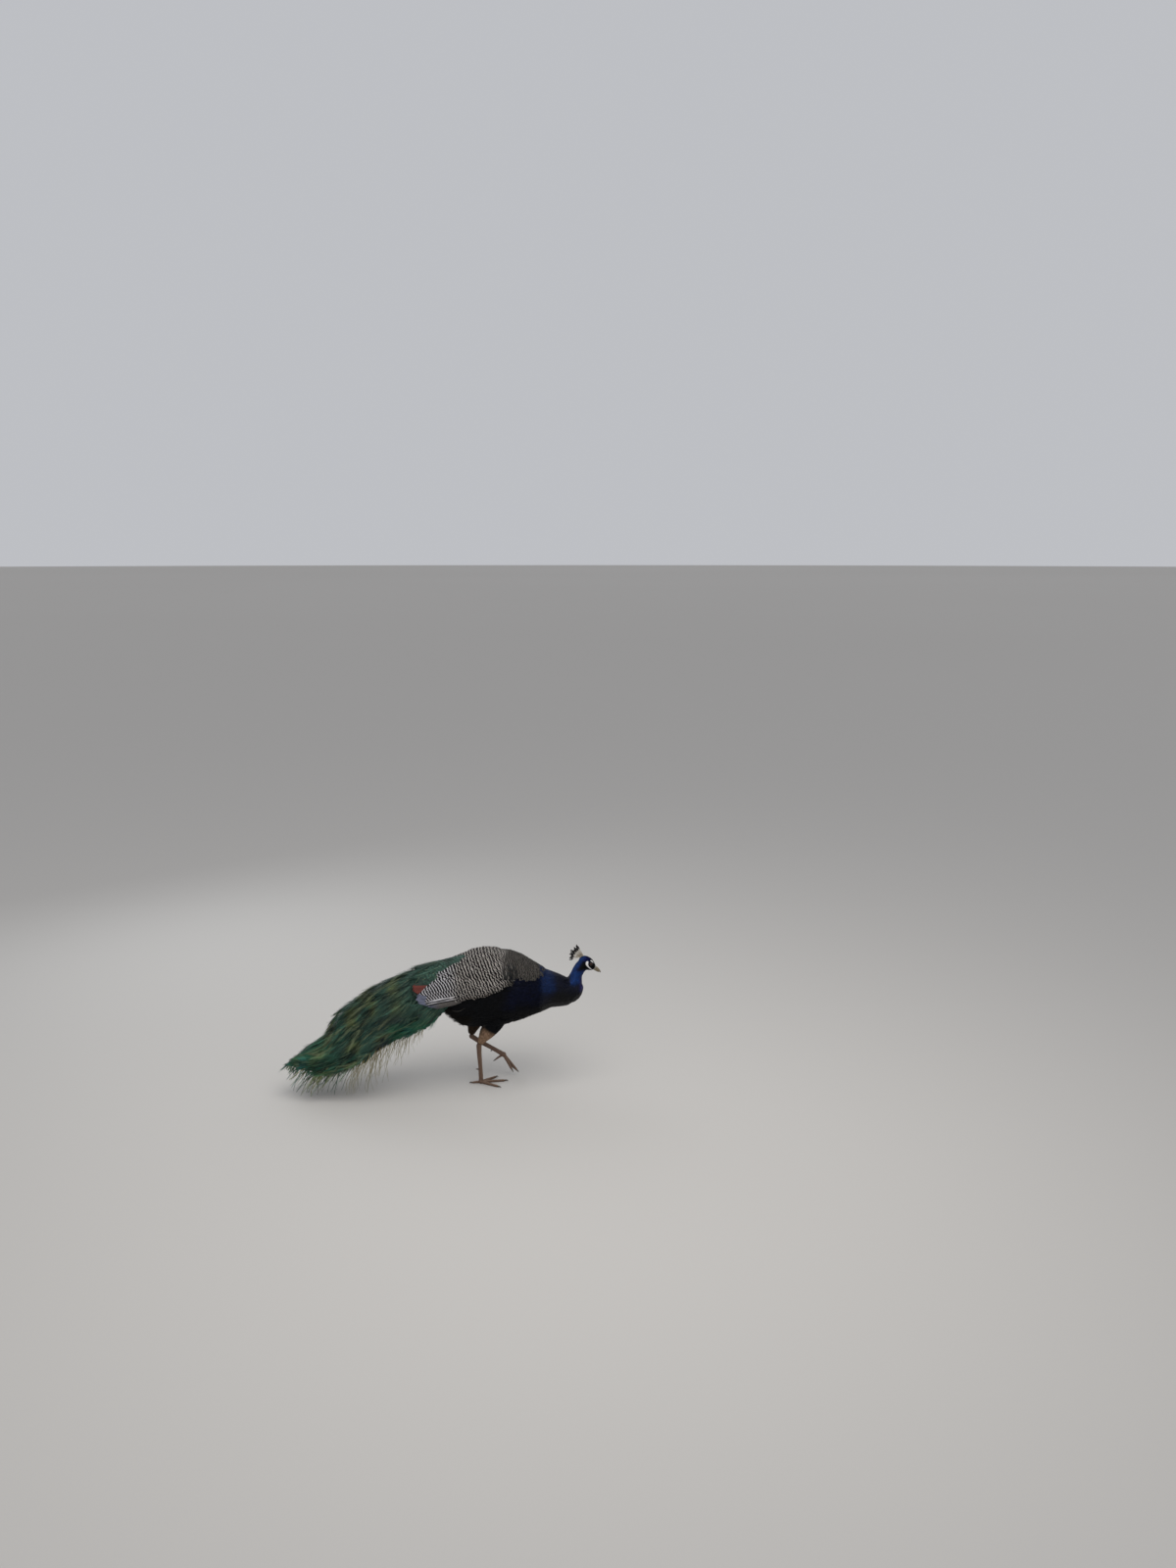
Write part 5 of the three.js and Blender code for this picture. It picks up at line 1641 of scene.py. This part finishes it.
# %% Scaly legs
LEG = tint("6f5545")
LEG_PALE = tint("8a705a")
TOES = ("inner", "middle", "outer", "hind")
HUBS = {"right": np.array([0.0, 0, 7.2]), "left": np.array([76.0, 35, 78])}  # where the toes meet
SHANK_PLATE, TOE_PLATE = 6.2, 4.4  # millimetres from one plate to the next


def rounded_ends(points, side):
    """Toe points drawn in to a round end where each claw leaves."""
    points = points.copy()
    for toe in TOES:
        claw = node_points(f"claw_{side}_{toe}")
        tip = claw[np.argmax(np.linalg.norm(claw - HUBS[side], axis=1))]
        from_tip = np.linalg.norm(claw - tip, axis=1)
        base = claw[from_tip > 0.8 * from_tip.max()].mean(axis=0)
        way = unit(base - HUBS[side])
        ahead = (points - base) @ way
        past = ahead + 4
        off = points - base - ahead[:, None] * way
        near = (past > 0) & (np.linalg.norm(off, axis=1) < 9)
        share = np.clip(past / 7, 0, 1)
        points[near] -= (off * (0.5 * share ** 2)[:, None])[near]
        points[near] += (way * (1.2 * share)[:, None])[near]
    return points


def scale_finish(name):
    """Bare leg skin: painted colour with darker seams between small round scales."""
    material, tree, shader = new_finish(name, 0.5, gloss=0.4)
    place = tree.nodes.new("ShaderNodeTexCoord")
    cells = add_node(tree, "ShaderNodeTexVoronoi", Scale=420.0)
    cells.feature = "DISTANCE_TO_EDGE"
    link(tree, place, "Object", cells, "Vector")
    seams = add_node(tree, "ShaderNodeMapRange", From_Min=0.0, From_Max=0.12, To_Min=0.5, To_Max=1.0)
    link(tree, cells, "Distance", seams, "Value")
    painted(tree, shader, seams, "Result")
    embossed(tree, shader, seams, "Result", 0.5, 0.0005)
    return material


leg_finish = scale_finish("scaly_legs")
for side, hub in HUBS.items():
    nodes = [f"shank_{side}", *(f"toe_{side}_{toe}" for toe in TOES)]
    limb = Ground(remeshed(nodes, 0.85, 4))
    up_shank = (limb.points - hub) @ unit(LEGS[side]["hock"] - hub)
    shank = ramp(up_shank, 9, 14) > 0.5
    distance = np.where(shank, up_shank, np.linalg.norm(limb.points - hub, axis=1))
    plate = np.abs(np.sin(math.pi * distance / np.where(shank, SHANK_PLATE, TOE_PLATE)))
    front = ramp(np.where(shank, limb.normals[:, 0], limb.normals[:, 2]), 0.1, 0.5)
    points = limb.points + limb.normals * (0.55 * front * (plate ** 0.4 - 0.6))[:, None]
    points = rounded_ends(points, side)
    points[:, 2] = np.maximum(points[:, 2], 0)
    paint = over(LEG, LEG_PALE, front * 0.6)
    paint = paint * (0.45 + 0.55 * np.where(front > 0.3, ramp(plate, 0, 0.35), 1))[:, None]
    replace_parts(make_piece(f"leg_{side}", leg_finish, points, limb.quads, paint), *nodes)

# %% [markdown]
# ## Closing
# The model's box is found, and the frame is finished.

# %% Sizes and finish
low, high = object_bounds()
